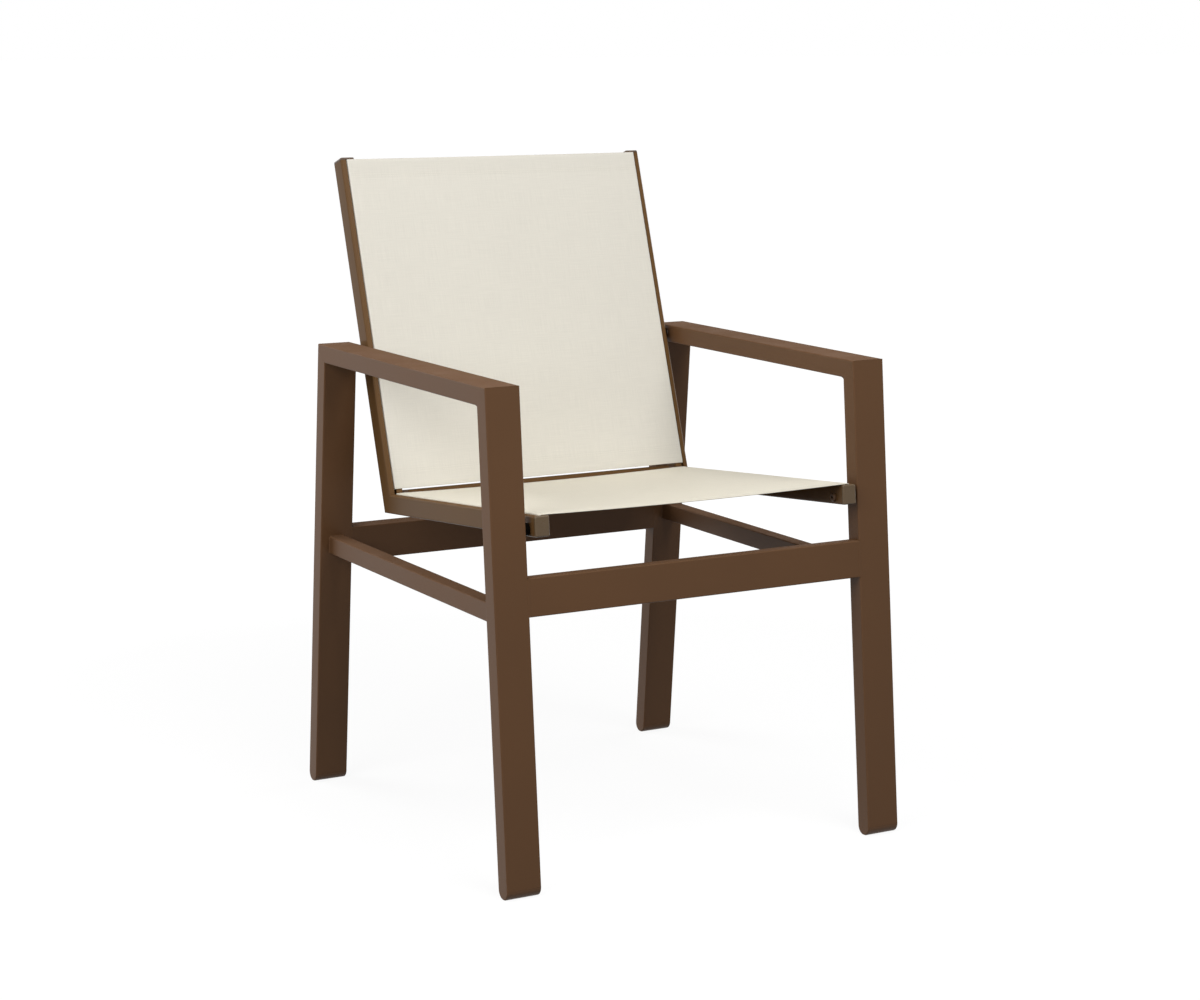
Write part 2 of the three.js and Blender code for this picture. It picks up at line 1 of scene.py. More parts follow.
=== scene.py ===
"""The looks of a sling patio chair: painted tube frame, slotted rails and two stretched slings.

Metres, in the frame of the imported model: Z is up, the sitter faces -Y and the chair is mirrored
about X = 0. Left and right are as seen by someone who faces the chair's front.
"""

import json
import logging
import math
from collections.abc import Sequence
from dataclasses import dataclass, replace
from enum import Enum

import bpy
from mathutils import Matrix, Vector

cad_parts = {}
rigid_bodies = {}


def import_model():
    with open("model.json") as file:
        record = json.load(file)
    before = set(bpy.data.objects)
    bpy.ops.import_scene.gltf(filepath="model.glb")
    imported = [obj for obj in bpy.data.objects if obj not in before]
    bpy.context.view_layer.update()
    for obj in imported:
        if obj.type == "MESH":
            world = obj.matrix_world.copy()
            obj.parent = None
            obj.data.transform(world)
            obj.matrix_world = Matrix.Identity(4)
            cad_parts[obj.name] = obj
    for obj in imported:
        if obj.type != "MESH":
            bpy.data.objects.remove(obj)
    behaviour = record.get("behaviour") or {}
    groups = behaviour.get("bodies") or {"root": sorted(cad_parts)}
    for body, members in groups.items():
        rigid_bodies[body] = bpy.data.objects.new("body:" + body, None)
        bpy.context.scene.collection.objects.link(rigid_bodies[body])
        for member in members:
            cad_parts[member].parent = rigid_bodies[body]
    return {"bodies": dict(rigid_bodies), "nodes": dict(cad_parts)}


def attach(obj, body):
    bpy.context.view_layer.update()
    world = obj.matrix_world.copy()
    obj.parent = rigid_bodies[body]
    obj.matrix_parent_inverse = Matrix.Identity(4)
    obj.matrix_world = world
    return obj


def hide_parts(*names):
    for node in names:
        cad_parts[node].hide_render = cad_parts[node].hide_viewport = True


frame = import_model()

LOG = logging.getLogger("sling_chair")

Colour = tuple[float, float, float]
Place = tuple[float, float, float]

# Round corners are drawn with five points, an eighth of a half turn apart.
CORNER_STEP = 22.5
CORNER_POINTS = 5


class Side(Enum):
    """The two sides of the chair, with the sign of X on each."""

    LEFT = -1
    RIGHT = 1


class EffectName(Enum):
    """The shader node groups that the finishes share."""

    POWDER_GRAIN = "powder_grain"
    SETTLED_DUST = "settled_dust"
    SLING_WEAVE = "sling_weave"
    MOULDED_SKIN = "moulded_skin"


@dataclass(frozen=True)
class SideRun:
    """A straight line in the chair's side plane that a member follows.

    Depth goes into the member from the line, at the given angle in degrees from +Y towards +Z.
    Along is a quarter turn from depth.
    """

    start_y: float
    start_z: float
    depth_angle: float

    @property
    def depth_direction(self) -> Vector:
        """The unit vector into the member's depth."""
        angle = math.radians(self.depth_angle)
        return Vector((0.0, math.cos(angle), math.sin(angle)))

    @property
    def along_direction(self) -> Vector:
        """The unit vector along the member."""
        depth = self.depth_direction
        return Vector((0.0, -depth.z, depth.y))

    def point(self, x: float, along: float, depth: float) -> Vector:
        """Finds a point of the member.

        Args:
            x: Where the point is sideways.
            along: How far it is along the run.
            depth: How deep it is from the run's line.

        Returns:
            The point in the chair's frame.
        """
        start = Vector((x, self.start_y, self.start_z))
        return start + self.along_direction * along + self.depth_direction * depth

    def along_at_height(self, height: float, depth: float) -> float:
        """Finds where the run reaches a height.

        Args:
            height: The height above the floor.
            depth: The depth at which the run is followed.

        Returns:
            How far along the run that is.
        """
        return (height - self.point(0.0, 0.0, depth).z) / self.along_direction.z

    def meets(self, other: "SideRun", own_depth: float, other_depth: float) -> float:
        """Finds where a line of this run crosses a line of another run.

        Args:
            other: The other run.
            own_depth: The depth of the line followed on this run.
            other_depth: The depth of the line on the other run.

        Returns:
            How far along this run the crossing is.
        """
        gap = other.point(0.0, 0.0, other_depth) - self.point(0.0, 0.0, own_depth)
        across = other.depth_direction
        return gap.dot(across) / self.along_direction.dot(across)


# The lines that the side frame's tubes and the sling's rails follow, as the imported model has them.
LEG_RAKE = 5.01
FRONT_LEG = SideRun(-0.323895, 0.0, -LEG_RAKE)
ARM = SideRun(-0.323895, 0.650, -90.0)
REAR_LEG = SideRun(0.254923, 0.650, 180.0 + LEG_RAKE)
BACK_RUN = SideRun(0.142933, 0.4453, -18.4)
SEAT_RUN = SideRun(-0.286695, 0.485912, -95.4)


def corner_turns(start: float) -> list[float]:
    """Gives the angles of a round corner's points.

    Args:
        start: The angle in degrees at which the corner starts.

    Returns:
        The angles in radians, over a quarter turn.
    """
    return [math.radians(start + CORNER_STEP * i) for i in range(CORNER_POINTS)]


def running_lengths(line: Sequence[tuple[float, ...]]) -> list[float]:
    """Measures a line from its start to each of its points.

    Args:
        line: The points, each with its place in the first two numbers.

    Returns:
        The lengths, with 0 for the first point.
    """
    lengths = [0.0]
    for here, there in zip(line, line[1:]):
        lengths.append(lengths[-1] + math.hypot(there[0] - here[0], there[1] - here[1]))
    return lengths


class MeshBuilder:
    """Collects the points and faces of one piece and makes its object."""

    def __init__(self, name: str) -> None:
        """Starts an empty piece of that name."""
        self.name = name
        self.points: list[Vector] = []
        self.faces: list[tuple[int, ...]] = []
        self.places: list[tuple[float, float]] = []

    def loft(self, sections: Sequence[Sequence[Vector]], capped: bool = True) -> None:
        """Adds a skin through closed sections.

        Args:
            sections: The sections in order, each with as many points.
            capped: Whether the first and last section are closed with a face.
        """
        base, count = len(self.points), len(sections[0])
        for section in sections:
            self.points.extend(section)
        for row in range(len(sections) - 1):
            here = base + row * count
            for i in range(count):
                j = (i + 1) % count
                self.faces.append((here + i, here + j, here + count + j, here + count + i))
        if capped:
            last = base + (len(sections) - 1) * count
            self.faces.append(tuple(reversed(range(base, base + count))))
            self.faces.append(tuple(range(last, last + count)))

    def grid(
        self, rows: Sequence[Sequence[Vector]], places: Sequence[Sequence[tuple[float, float]]]
    ) -> None:
        """Adds an open sheet with a flat place for each point.

        Args:
            rows: The points of the sheet, row by row.
            places: Where each point lies on the flat cloth, in metres.
        """
        base, count = len(self.points), len(rows[0])
        for row, place_row in zip(rows, places):
            self.points.extend(row)
            self.places.extend(place_row)
        for r in range(len(rows) - 1):
            for i in range(count - 1):
                a = base + r * count + i
                self.faces.append((a, a + 1, a + count + 1, a + count))

    def make(self, material: bpy.types.Material, slot: str, smooth_angle: float = 35.0) -> bpy.types.Object:
        """Makes the object, dresses it and seats it on the chair.

        Args:
            material: The finish of the whole piece.
            slot: The name of a material slot; not used.
            smooth_angle: The angle in degrees above which an edge stays sharp.

        Returns:
            The new object, riding on the chair.
        """
        mesh = bpy.data.meshes.new(self.name)
        mesh.from_pydata([tuple(p) for p in self.points], [], self.faces)
        mesh.validate()
        if self.places:
            layer = mesh.uv_layers.new(name="cloth_place")
            for loop in mesh.loops:
                layer.data[loop.index].uv = self.places[loop.vertex_index]
        mesh.shade_smooth()
        mesh.set_sharp_from_angle(angle=math.radians(smooth_angle))
        mesh.materials.append(material)
        piece = bpy.data.objects.new(self.name, mesh)
        bpy.context.scene.collection.objects.link(piece)
        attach(piece, "root")
        LOG.info("%s: %d faces", self.name, len(mesh.polygons))
        return piece


# Shader groups and finishes


class NodeSheet:
    """Lays out shader nodes in one material or node group."""

    def __init__(self, tree: bpy.types.NodeTree) -> None:
        """Starts on a tree that holds no nodes."""
        self.tree = tree
        tree.nodes.clear()

    def node(self, kind: str, **settings: object) -> bpy.types.Node:
        """Adds a node.

        Args:
            kind: Blender's name of the node's type.
            settings: Properties of the node to set.

        Returns:
            The new node.
        """
        made = self.tree.nodes.new(kind)
        for key, value in settings.items():
            setattr(made, key, value)
        return made

    def feed(self, node: bpy.types.Node, **values: object) -> bpy.types.Node:
        """Sets or links a node's inputs by name, with _ for a space.

        Args:
            node: The node whose inputs are fed.
            values: For each input a socket to link or a value to set.

        Returns:
            The same node.
        """
        for key, value in values.items():
            target = node.inputs[key.replace("_", " ")]
            if isinstance(value, bpy.types.NodeSocket):
                self.tree.links.new(value, target)
            elif isinstance(value, tuple) and len(value) == 3 and target.type == "RGBA":
                target.default_value = (*value, 1.0)
            else:
                target.default_value = value
        return node

    def math(self, operation: str, *terms: object, clamp: bool = False) -> bpy.types.NodeSocket:
        """Adds a Math node.

        Args:
            operation: Blender's name of the operation.
            terms: The inputs in order, each a socket or a number.
            clamp: Whether the result stays between 0 and 1.

        Returns:
            The result's socket.
        """
        made = self.node("ShaderNodeMath", operation=operation, use_clamp=clamp)
        for target, term in zip(made.inputs, terms):
            if isinstance(term, bpy.types.NodeSocket):
                self.tree.links.new(term, target)
            else:
                target.default_value = term
        return made.outputs[0]

    def noise(self, place: bpy.types.NodeSocket, scale: object, detail: float = 2.0) -> bpy.types.NodeSocket:
        """Adds a Noise Texture.

        Args:
            place: Where on the piece the noise is read.
            scale: How fine the noise is, a socket or a number.
            detail: How many finer layers it has.

        Returns:
            The noise's socket, about 0.5 on average.
        """
        made = self.node("ShaderNodeTexNoise")
        self.feed(made, Vector=place, Scale=scale, Detail=detail)
        return made.outputs[0]

    def stretched(self, place: bpy.types.NodeSocket, scales: Place) -> bpy.types.NodeSocket:
        """Scales a place by its own amount along each axis.

        Args:
            place: The place.
            scales: The amount for each axis.

        Returns:
            The scaled place's socket.
        """
        made = self.node("ShaderNodeVectorMath", operation="MULTIPLY")
        self.tree.links.new(place, made.inputs[0])
        made.inputs[1].default_value = scales
        return made.outputs[0]

    def brightened(self, colour: bpy.types.NodeSocket, gain: bpy.types.NodeSocket) -> bpy.types.NodeSocket:
        """Multiplies a colour by a number near 1.

        Args:
            colour: The colour.
            gain: The number.

        Returns:
            The new colour's socket.
        """
        made = self.node("ShaderNodeVectorMath", operation="SCALE")
        self.tree.links.new(colour, made.inputs[0])
        self.tree.links.new(gain, made.inputs["Scale"])
        return made.outputs[0]

    def mixed(self, share: object, first: object, second: object) -> bpy.types.NodeSocket:
        """Mixes two colours.

        Args:
            share: How much of the second colour there is, a socket or a number.
            first: The first colour, a socket or three numbers.
            second: The second colour, a socket or three numbers.

        Returns:
            The mixed colour's socket.
        """
        made = self.node("ShaderNodeMix", data_type="RGBA")
        for index, value in ((0, share), (6, first), (7, second)):
            target = made.inputs[index]
            if isinstance(value, bpy.types.NodeSocket):
                self.tree.links.new(value, target)
            else:
                target.default_value = (*value, 1.0) if isinstance(value, tuple) else value
        return made.outputs[2]


class Effect:
    """A shader node group with named inputs and outputs, built once for all finishes."""

    name: EffectName
    inputs: dict[str, tuple[str, object]]
    outputs: dict[str, str]

    def group(self) -> bpy.types.NodeTree:
        """Gives the node group, and builds it the first time.

        Returns:
            The group's node tree.
        """
        known = bpy.data.node_groups.get(self.name.value)
        if known:
            return known
        tree = bpy.data.node_groups.new(self.name.value, "ShaderNodeTree")
        for label, (kind, value) in self.inputs.items():
            socket = tree.interface.new_socket(label, in_out="INPUT", socket_type=f"NodeSocket{kind}")
            if value is not None:
                socket.default_value = value
        for label, kind in self.outputs.items():
            tree.interface.new_socket(label, in_out="OUTPUT", socket_type=f"NodeSocket{kind}")
        sheet = NodeSheet(tree)
        source = sheet.node("NodeGroupInput")
        target = sheet.node("NodeGroupOutput")
        for label, socket in self.lay_out(sheet, source.outputs).items():
            tree.links.new(socket, target.inputs[label])
        return tree

    def lay_out(self, sheet: NodeSheet, given: bpy.types.NodeOutputs) -> dict[str, bpy.types.NodeSocket]:
        """Lays out the group's nodes.

        Args:
            sheet: The group's sheet.
            given: The sockets of the group's inputs.

        Returns:
            The socket of each output, by the output's name.
        """
        raise NotImplementedError

    def place(self, sheet: NodeSheet, **values: object) -> bpy.types.NodeOutputs:
        """Places the group in a material.

        Args:
            sheet: The material's sheet.
            values: The group's inputs by name, with _ for a space.

        Returns:
            The placed node's outputs.
        """
        made = sheet.node("ShaderNodeGroup", node_tree=self.group())
        return sheet.feed(made, **values).outputs


class PowderGrain(Effect):
    """Baked powder paint: slow clouds of shade, a fine fleck and an orange-peel surface."""

    name = EffectName.POWDER_GRAIN
    inputs = {
        "Place": ("Vector", None),
        "Paint": ("Color", (0.1, 0.06, 0.03, 1.0)),
        "Fleck": ("Float", 0.1),
        "Peel Scale": ("Float", 700.0),
        "Gloss Loss": ("Float", 0.45),
    }
    outputs = {"Colour": "Color", "Roughness": "Float", "Height": "Float"}
    cloud_scale = 7.0
    cloud_detail = 3.0
    cloud_shade = 0.16
    cloud_gloss = 0.12
    fleck_scale = 2600.0
    fleck_detail = 1.0
    fleck_relief = 0.3

    def lay_out(self, sheet: NodeSheet, given: bpy.types.NodeOutputs) -> dict[str, bpy.types.NodeSocket]:
        """Lays out the paint's clouds, flecks and peel.

        Args:
            sheet: The group's sheet.
            given: The sockets of the group's inputs.

        Returns:
            The socket of each output.
        """
        place = given["Place"]
        cloud = sheet.math("SUBTRACT", sheet.noise(place, self.cloud_scale, self.cloud_detail), 0.5)
        fleck = sheet.math("SUBTRACT", sheet.noise(place, self.fleck_scale, self.fleck_detail), 0.5)
        flecks = sheet.math("MULTIPLY", fleck, given["Fleck"])
        gain = sheet.math("ADD", sheet.math("MULTIPLY_ADD", cloud, self.cloud_shade, 1.0), flecks)
        peel = sheet.noise(place, given["Peel Scale"])
        roughness = sheet.math("ADD", sheet.math("MULTIPLY", cloud, self.cloud_gloss), given["Gloss Loss"])
        height = sheet.math("ADD", peel, sheet.math("MULTIPLY", fleck, self.fleck_relief))
        return {
            "Colour": sheet.brightened(given["Paint"], gain),
            "Roughness": roughness,
            "Height": height,
        }


class SettledDust(Effect):
    """A faint pale film that lies on faces that look up and dulls them, thicker in some patches."""

    name = EffectName.SETTLED_DUST
    inputs = {
        "Place": ("Vector", None),
        "Colour": ("Color", (0.1, 0.06, 0.03, 1.0)),
        "Dust": ("Color", (0.42, 0.38, 0.32, 1.0)),
        "Amount": ("Float", 0.04),
        "Dulling": ("Float", 0.4),
        "Roughness": ("Float", 0.5),
    }
    outputs = {"Colour": "Color", "Roughness": "Float"}
    patch_scale = 24.0
    patch_detail = 4.0
    patch_spread = 1.2
    thinnest = 0.4

    def lay_out(self, sheet: NodeSheet, given: bpy.types.NodeOutputs) -> dict[str, bpy.types.NodeSocket]:
        """Lays out the film's patches and its share on each face.

        Args:
            sheet: The group's sheet.
            given: The sockets of the group's inputs.

        Returns:
            The socket of each output.
        """
        normal = sheet.node("ShaderNodeSeparateXYZ")
        geometry = sheet.node("ShaderNodeNewGeometry")
        sheet.tree.links.new(geometry.outputs["Normal"], normal.inputs[0])
        upward = sheet.math("MAXIMUM", normal.outputs["Z"], 0.0)
        noise = sheet.noise(given["Place"], self.patch_scale, self.patch_detail)
        patches = sheet.math("MULTIPLY_ADD", noise, self.patch_spread, self.thinnest)
        film = sheet.math("MULTIPLY", upward, patches)
        share = sheet.math("MULTIPLY", film, given["Amount"], clamp=True)
        rougher = sheet.math("MULTIPLY_ADD", film, given["Dulling"], given["Roughness"], clamp=True)
        return {"Colour": sheet.mixed(share, given["Colour"], given["Dust"]), "Roughness": rougher}

    def over(
        self,
        sheet: NodeSheet,
        place: bpy.types.NodeSocket,
        surface: bpy.types.NodeOutputs,
        amount: float,
        dulling: float,
    ) -> bpy.types.NodeOutputs:
        """Places the film over a surface.

        Args:
            sheet: The material's sheet.
            place: Where on the piece the film is read.
            surface: The outputs of the group that makes the surface.
            amount: How thick the film is.
            dulling: How much roughness it adds where it is thickest.

        Returns:
            The placed node's outputs.
        """
        looks = {"Colour": surface["Colour"], "Roughness": surface["Roughness"]}
        return self.place(sheet, Place=place, Amount=amount, Dulling=dulling, **looks)


class SlingWeave(Effect):
    """A plain weave of coated yarn, read from where each point lies on the flat cloth."""

    name = EffectName.SLING_WEAVE
    inputs = {
        "Place": ("Vector", None),
        "Yarn": ("Color", (0.78, 0.75, 0.66, 1.0)),
        "Shadow": ("Color", (0.5, 0.46, 0.38, 1.0)),
        "Yarns per Metre": ("Float", 800.0),
        "Slub": ("Float", 0.05),
        "Hollow": ("Float", 0.4),
        "Gloss Loss": ("Float", 0.5),
        "Cut Length": ("Float", 0.5),
        "Hem Length": ("Float", 0.05),
        "Hem Shade": ("Float", 0.04),
    }
    outputs = {"Colour": "Color", "Roughness": "Float", "Height": "Float"}
    slub_fine = 900.0
    slub_long = 26.0
    soft_scale = 9.0
    soft_detail = 3.0
    soft_shade = 0.03
    hollow_gloss = 0.4

    def lay_out(self, sheet: NodeSheet, given: bpy.types.NodeOutputs) -> dict[str, bpy.types.NodeSocket]:
        """Lays out the crossing yarns, their slubs and the hollows between them.

        Args:
            sheet: The group's sheet.
            given: The sockets of the group's inputs.

        Returns:
            The socket of each output.
        """
        place = sheet.node("ShaderNodeSeparateXYZ")
        sheet.tree.links.new(given["Place"], place.inputs[0])
        turns = sheet.math("MULTIPLY", given["Yarns per Metre"], math.pi)
        across = sheet.math("SINE", sheet.math("MULTIPLY", place.outputs["X"], turns))
        along = sheet.math("SINE", sheet.math("MULTIPLY", place.outputs["Y"], turns))
        warp, weft = sheet.math("ABSOLUTE", across), sheet.math("ABSOLUTE", along)
        over = sheet.math("GREATER_THAN", sheet.math("MULTIPLY", across, along), 0.0)
        warp_crown = self.crown(sheet, warp, weft)
        weft_crown = self.crown(sheet, weft, warp)
        difference = sheet.math("SUBTRACT", warp_crown, weft_crown)
        height = sheet.math("MULTIPLY_ADD", difference, over, weft_crown)
        run = sheet.noise(sheet.stretched(given["Place"], (self.slub_fine, self.slub_long, 1.0)), 1.0)
        fill = sheet.noise(sheet.stretched(given["Place"], (self.slub_long, self.slub_fine, 1.0)), 1.0)
        slub = sheet.math("SUBTRACT", sheet.math("ADD", run, fill), 1.0)
        soft = sheet.math("SUBTRACT", sheet.noise(given["Place"], self.soft_scale, self.soft_detail), 0.5)
        half = sheet.math("MULTIPLY", given["Cut Length"], 0.5)
        from_middle = sheet.math("ABSOLUTE", sheet.math("SUBTRACT", place.outputs["Y"], half))
        single = sheet.math("SUBTRACT", half, given["Hem Length"])
        doubled = sheet.math("GREATER_THAN", from_middle, single)
        bare = sheet.math("SUBTRACT", 1.0, sheet.math("MULTIPLY", doubled, given["Hem Shade"]))
        gain = sheet.math("ADD", sheet.math("MULTIPLY", slub, given["Slub"]), bare)
        gain = sheet.math("MULTIPLY_ADD", soft, self.soft_shade, gain)
        sunk = sheet.math("MULTIPLY", sheet.math("SUBTRACT", 1.0, height), given["Hollow"], clamp=True)
        colour = sheet.mixed(sunk, given["Yarn"], given["Shadow"])
        return {
            "Colour": sheet.brightened(colour, gain),
            "Roughness": sheet.math("MULTIPLY_ADD", sunk, self.hollow_gloss, given["Gloss Loss"]),
            "Height": height,
        }

    @staticmethod
    def crown(
        sheet: NodeSheet, own: bpy.types.NodeSocket, crossing: bpy.types.NodeSocket
    ) -> bpy.types.NodeSocket:
        """Lays out the height of one set of yarns.

        Args:
            sheet: The group's sheet.
            own: The wave across these yarns.
            crossing: The wave across the yarns that they cross.

        Returns:
            The height's socket.
        """
        swell = sheet.math("MULTIPLY_ADD", crossing, 0.5, 0.5)
        return sheet.math("MULTIPLY", sheet.math("SQRT", own), swell)


class MouldedSkin(Effect):
    """The fine eroded skin of a moulded or cast piece, with slow shade changes."""

    name = EffectName.MOULDED_SKIN
    inputs = {
        "Place": ("Vector", None),
        "Body": ("Color", (0.1, 0.06, 0.03, 1.0)),
        "Spread": ("Float", 0.12),
        "Grain Scale": ("Float", 1500.0),
        "Gloss Loss": ("Float", 0.55),
    }
    outputs = {"Colour": "Color", "Roughness": "Float", "Height": "Float"}
    shade_scale = 60.0
    detail = 3.0
    grain_gloss = 0.1

    def lay_out(self, sheet: NodeSheet, given: bpy.types.NodeOutputs) -> dict[str, bpy.types.NodeSocket]:
        """Lays out the skin's grain and shade.

        Args:
            sheet: The group's sheet.
            given: The sockets of the group's inputs.

        Returns:
            The socket of each output.
        """
        slow = sheet.math("SUBTRACT", sheet.noise(given["Place"], self.shade_scale, self.detail), 0.5)
        grain = sheet.noise(given["Place"], given["Grain Scale"], self.detail)
        gain = sheet.math("MULTIPLY_ADD", slow, given["Spread"], 1.0)
        return {
            "Colour": sheet.brightened(given["Body"], gain),
            "Roughness": sheet.math("MULTIPLY_ADD", grain, self.grain_gloss, given["Gloss Loss"]),
            "Height": grain,
        }


class Finish:
    """What the surfaces of a kind of piece are made of. A finish's material is built once."""

    slot: str

    def material(self) -> bpy.types.Material:
        """Gives the finish's material, and builds it the first time.

        Returns:
            The material.
        """
        name = f"{self.slot}_finish"
        known = bpy.data.materials.get(name)
        if known:
            return known
        made = bpy.data.materials.new(name)
        made.use_nodes = True
        sheet = NodeSheet(made.node_tree)
        shader = sheet.node("ShaderNodeBsdfPrincipled")
        output = sheet.node("ShaderNodeOutputMaterial")
        sheet.tree.links.new(shader.outputs[0], output.inputs["Surface"])
        self.lay_out(sheet, shader)
        return made

    def lay_out(self, sheet: NodeSheet, shader: bpy.types.Node) -> None:
        """Feeds the shader of the finish.

        Args:
            sheet: The material's sheet.
            shader: The shader that is fed.
        """
        raise NotImplementedError

    @staticmethod
    def chair_place(sheet: NodeSheet) -> bpy.types.NodeSocket:
        """Gives each point's place in the chair's frame, which its object shares."""
        return sheet.node("ShaderNodeTexCoord").outputs["Object"]

    @staticmethod
    def bumped(
        sheet: NodeSheet, shader: bpy.types.Node, height: bpy.types.NodeSocket, depth: float
    ) -> None:
        """Feeds the shader's normal from a height.

        Args:
            sheet: The material's sheet.
            shader: The shader that is fed.
            height: The height, between 0 and 1.
            depth: How many metres a height of 1 stands out.
        """
        bump = sheet.node("ShaderNodeBump")
        sheet.feed(bump, Strength=1.0, Distance=depth, Height=height)
        sheet.feed(shader, Normal=bump.outputs["Normal"])


@dataclass(frozen=True)
class PaintFinish(Finish):
    """Baked powder paint on aluminium."""

    slot: str
    paint: Colour
    gloss_loss: float = 0.42
    specular: float = 0.18
    fleck: float = 0.12
    peel_depth: float = 0.000012
    dust: float = 0.004
    dulling: float = 0.45

    def lay_out(self, sheet: NodeSheet, shader: bpy.types.Node) -> None:
        """Feeds the shader with grain under a film of dust.

        Args:
            sheet: The material's sheet.
            shader: The shader that is fed.
        """
        place = self.chair_place(sheet)
        grain = PowderGrain().place(
            sheet, Place=place, Paint=self.paint, Fleck=self.fleck, Gloss_Loss=self.gloss_loss
        )
        film = SettledDust().over(sheet, place, grain, self.dust, self.dulling)
        sheet.feed(shader, Base_Color=film["Colour"], Roughness=film["Roughness"])
        sheet.feed(shader, Specular_IOR_Level=self.specular)
        self.bumped(sheet, shader, grain["Height"], self.peel_depth)


@dataclass(frozen=True)
class ClothFinish(Finish):
    """Woven sling cloth of coated yarn."""

    slot: str
    yarn: Colour
    shadow: Colour
    yarns_per_metre: float = 900.0
    slub: float = 0.11
    hollow: float = 0.22
    crown_depth: float = 0.00006
    gloss_loss: float = 0.5
    specular: float = 0.15
    cut_length: float = 0.5
    hem_length: float = 0.05
    hem_shade: float = 0.02

    def lay_out(self, sheet: NodeSheet, shader: bpy.types.Node) -> None:
        """Feeds the shader with the weave, a little darker where a hem doubles the cloth.

        Args:
            sheet: The material's sheet.
            shader: The shader that is fed.
        """
        place = sheet.node("ShaderNodeUVMap", uv_map="cloth_place").outputs[0]
        weave = SlingWeave().place(
            sheet,
            Place=place,
            Yarn=self.yarn,
            Shadow=self.shadow,
            Yarns_per_Metre=self.yarns_per_metre,
            Slub=self.slub,
            Hollow=self.hollow,
            Gloss_Loss=self.gloss_loss,
            Cut_Length=self.cut_length,
            Hem_Length=self.hem_length,
            Hem_Shade=self.hem_shade,
        )
        sheet.feed(shader, Base_Color=weave["Colour"], Roughness=weave["Roughness"])
        sheet.feed(shader, Specular_IOR_Level=self.specular)
        self.bumped(sheet, shader, weave["Height"], self.crown_depth)


@dataclass(frozen=True)
class MouldedFinish(Finish):
    """Moulded plastic or bare metal with a fine skin."""

    slot: str
    body: Colour
    gloss_loss: float = 0.5
    metallic: float = 0.0
    specular: float = 0.22
    grain_scale: float = 1500.0
    grain_depth: float = 0.00001
    dust: float = 0.004
    dulling: float = 0.3

    def lay_out(self, sheet: NodeSheet, shader: bpy.types.Node) -> None:
        """Feeds the shader with the skin under a film of dust.

        Args:
            sheet: The material's sheet.
            shader: The shader that is fed.
        """
        place = self.chair_place(sheet)
        skin = MouldedSkin().place(
            sheet, Place=place, Body=self.body, Grain_Scale=self.grain_scale, Gloss_Loss=self.gloss_loss
        )
        film = SettledDust().over(sheet, place, skin, self.dust, self.dulling)
        sheet.feed(shader, Base_Color=film["Colour"], Roughness=film["Roughness"], Metallic=self.metallic)
        sheet.feed(shader, Specular_IOR_Level=self.specular)
        self.bumped(sheet, shader, skin["Height"], self.grain_depth)


def from_screen(red: int, green: int, blue: int) -> Colour:
    """Turns a screen colour into a linear one, by the curve that screens use.

    Args:
        red: The red level, 0 to 255.
        green: The green level.
        blue: The blue level.

    Returns:
        The linear colour.
    """
    return tuple(
        value / 12.92 if value <= 0.04045 else ((value + 0.055) / 1.055) ** 2.4
        for value in (red / 255, green / 255, blue / 255)
    )


FRAME_PAINT = PaintFinish("frame_paint", from_screen(98, 69, 45))
RAIL_PAINT = PaintFinish("rail_paint", from_screen(102, 74, 44), gloss_loss=0.22, specular=0.08)
BOLT_PAINT = PaintFinish("bolt_paint", from_screen(86, 62, 42), gloss_loss=0.36)
FOOT_PLASTIC = MouldedFinish("foot_plastic", from_screen(97, 68, 44), gloss_loss=0.42)
CAP_PLASTIC = MouldedFinish("cap_plastic", from_screen(98, 80, 58), gloss_loss=0.2, specular=0.3)
# The back rails' top caps take a darker copy of the same cap plastic: painted shade, darker than the seat
# rails' caps.
BACK_CAP_SHADED_PLASTIC = replace(CAP_PLASTIC, slot="back_cap_painted_shade", body=from_screen(78, 56, 37))
BAR_PLUG_PLASTIC = replace(CAP_PLASTIC, slot="bar_plug_plastic", body=from_screen(84, 61, 42))
BLACK_NYLON = MouldedFinish("black_nylon", from_screen(16, 12, 9), gloss_loss=0.6, specular=0.02)
SPLINE_PLASTIC = MouldedFinish("spline_plastic", from_screen(216, 213, 204), gloss_loss=0.4)
PLAIN_STEEL = MouldedFinish(
    "plain_steel", from_screen(176, 174, 168), gloss_loss=0.28, metallic=1.0, specular=0.5
)
CAST_KEY = MouldedFinish(
    "cast_key", from_screen(150, 152, 154), gloss_loss=0.42, metallic=0.9, grain_scale=800.0
)
THREAD = MouldedFinish("thread", from_screen(236, 232, 220), gloss_loss=0.6, dust=0.0, dulling=0.0)
BACK_CLOTH = ClothFinish("back_cloth", from_screen(226, 222, 211), from_screen(194, 188, 174))
SEAT_CLOTH = ClothFinish("seat_cloth", from_screen(228, 222, 206), from_screen(194, 187, 170), specular=0.03)
SHOWN_FINISHES = (
    FRAME_PAINT,
    RAIL_PAINT,
    BOLT_PAINT,
    FOOT_PLASTIC,
    CAP_PLASTIC,
    BLACK_NYLON,
    SPLINE_PLASTIC,
    PLAIN_STEEL,
    CAST_KEY,
)
# Imported pieces whose names end so have a finish of their own; the back rails' caps take a painted-shade
# copy of the cap plastic.
NODE_FINISHES = {"back_rail_cap": BACK_CAP_SHADED_PLASTIC, "spreader_plug": BAR_PLUG_PLASTIC}


# Pieces of the frame


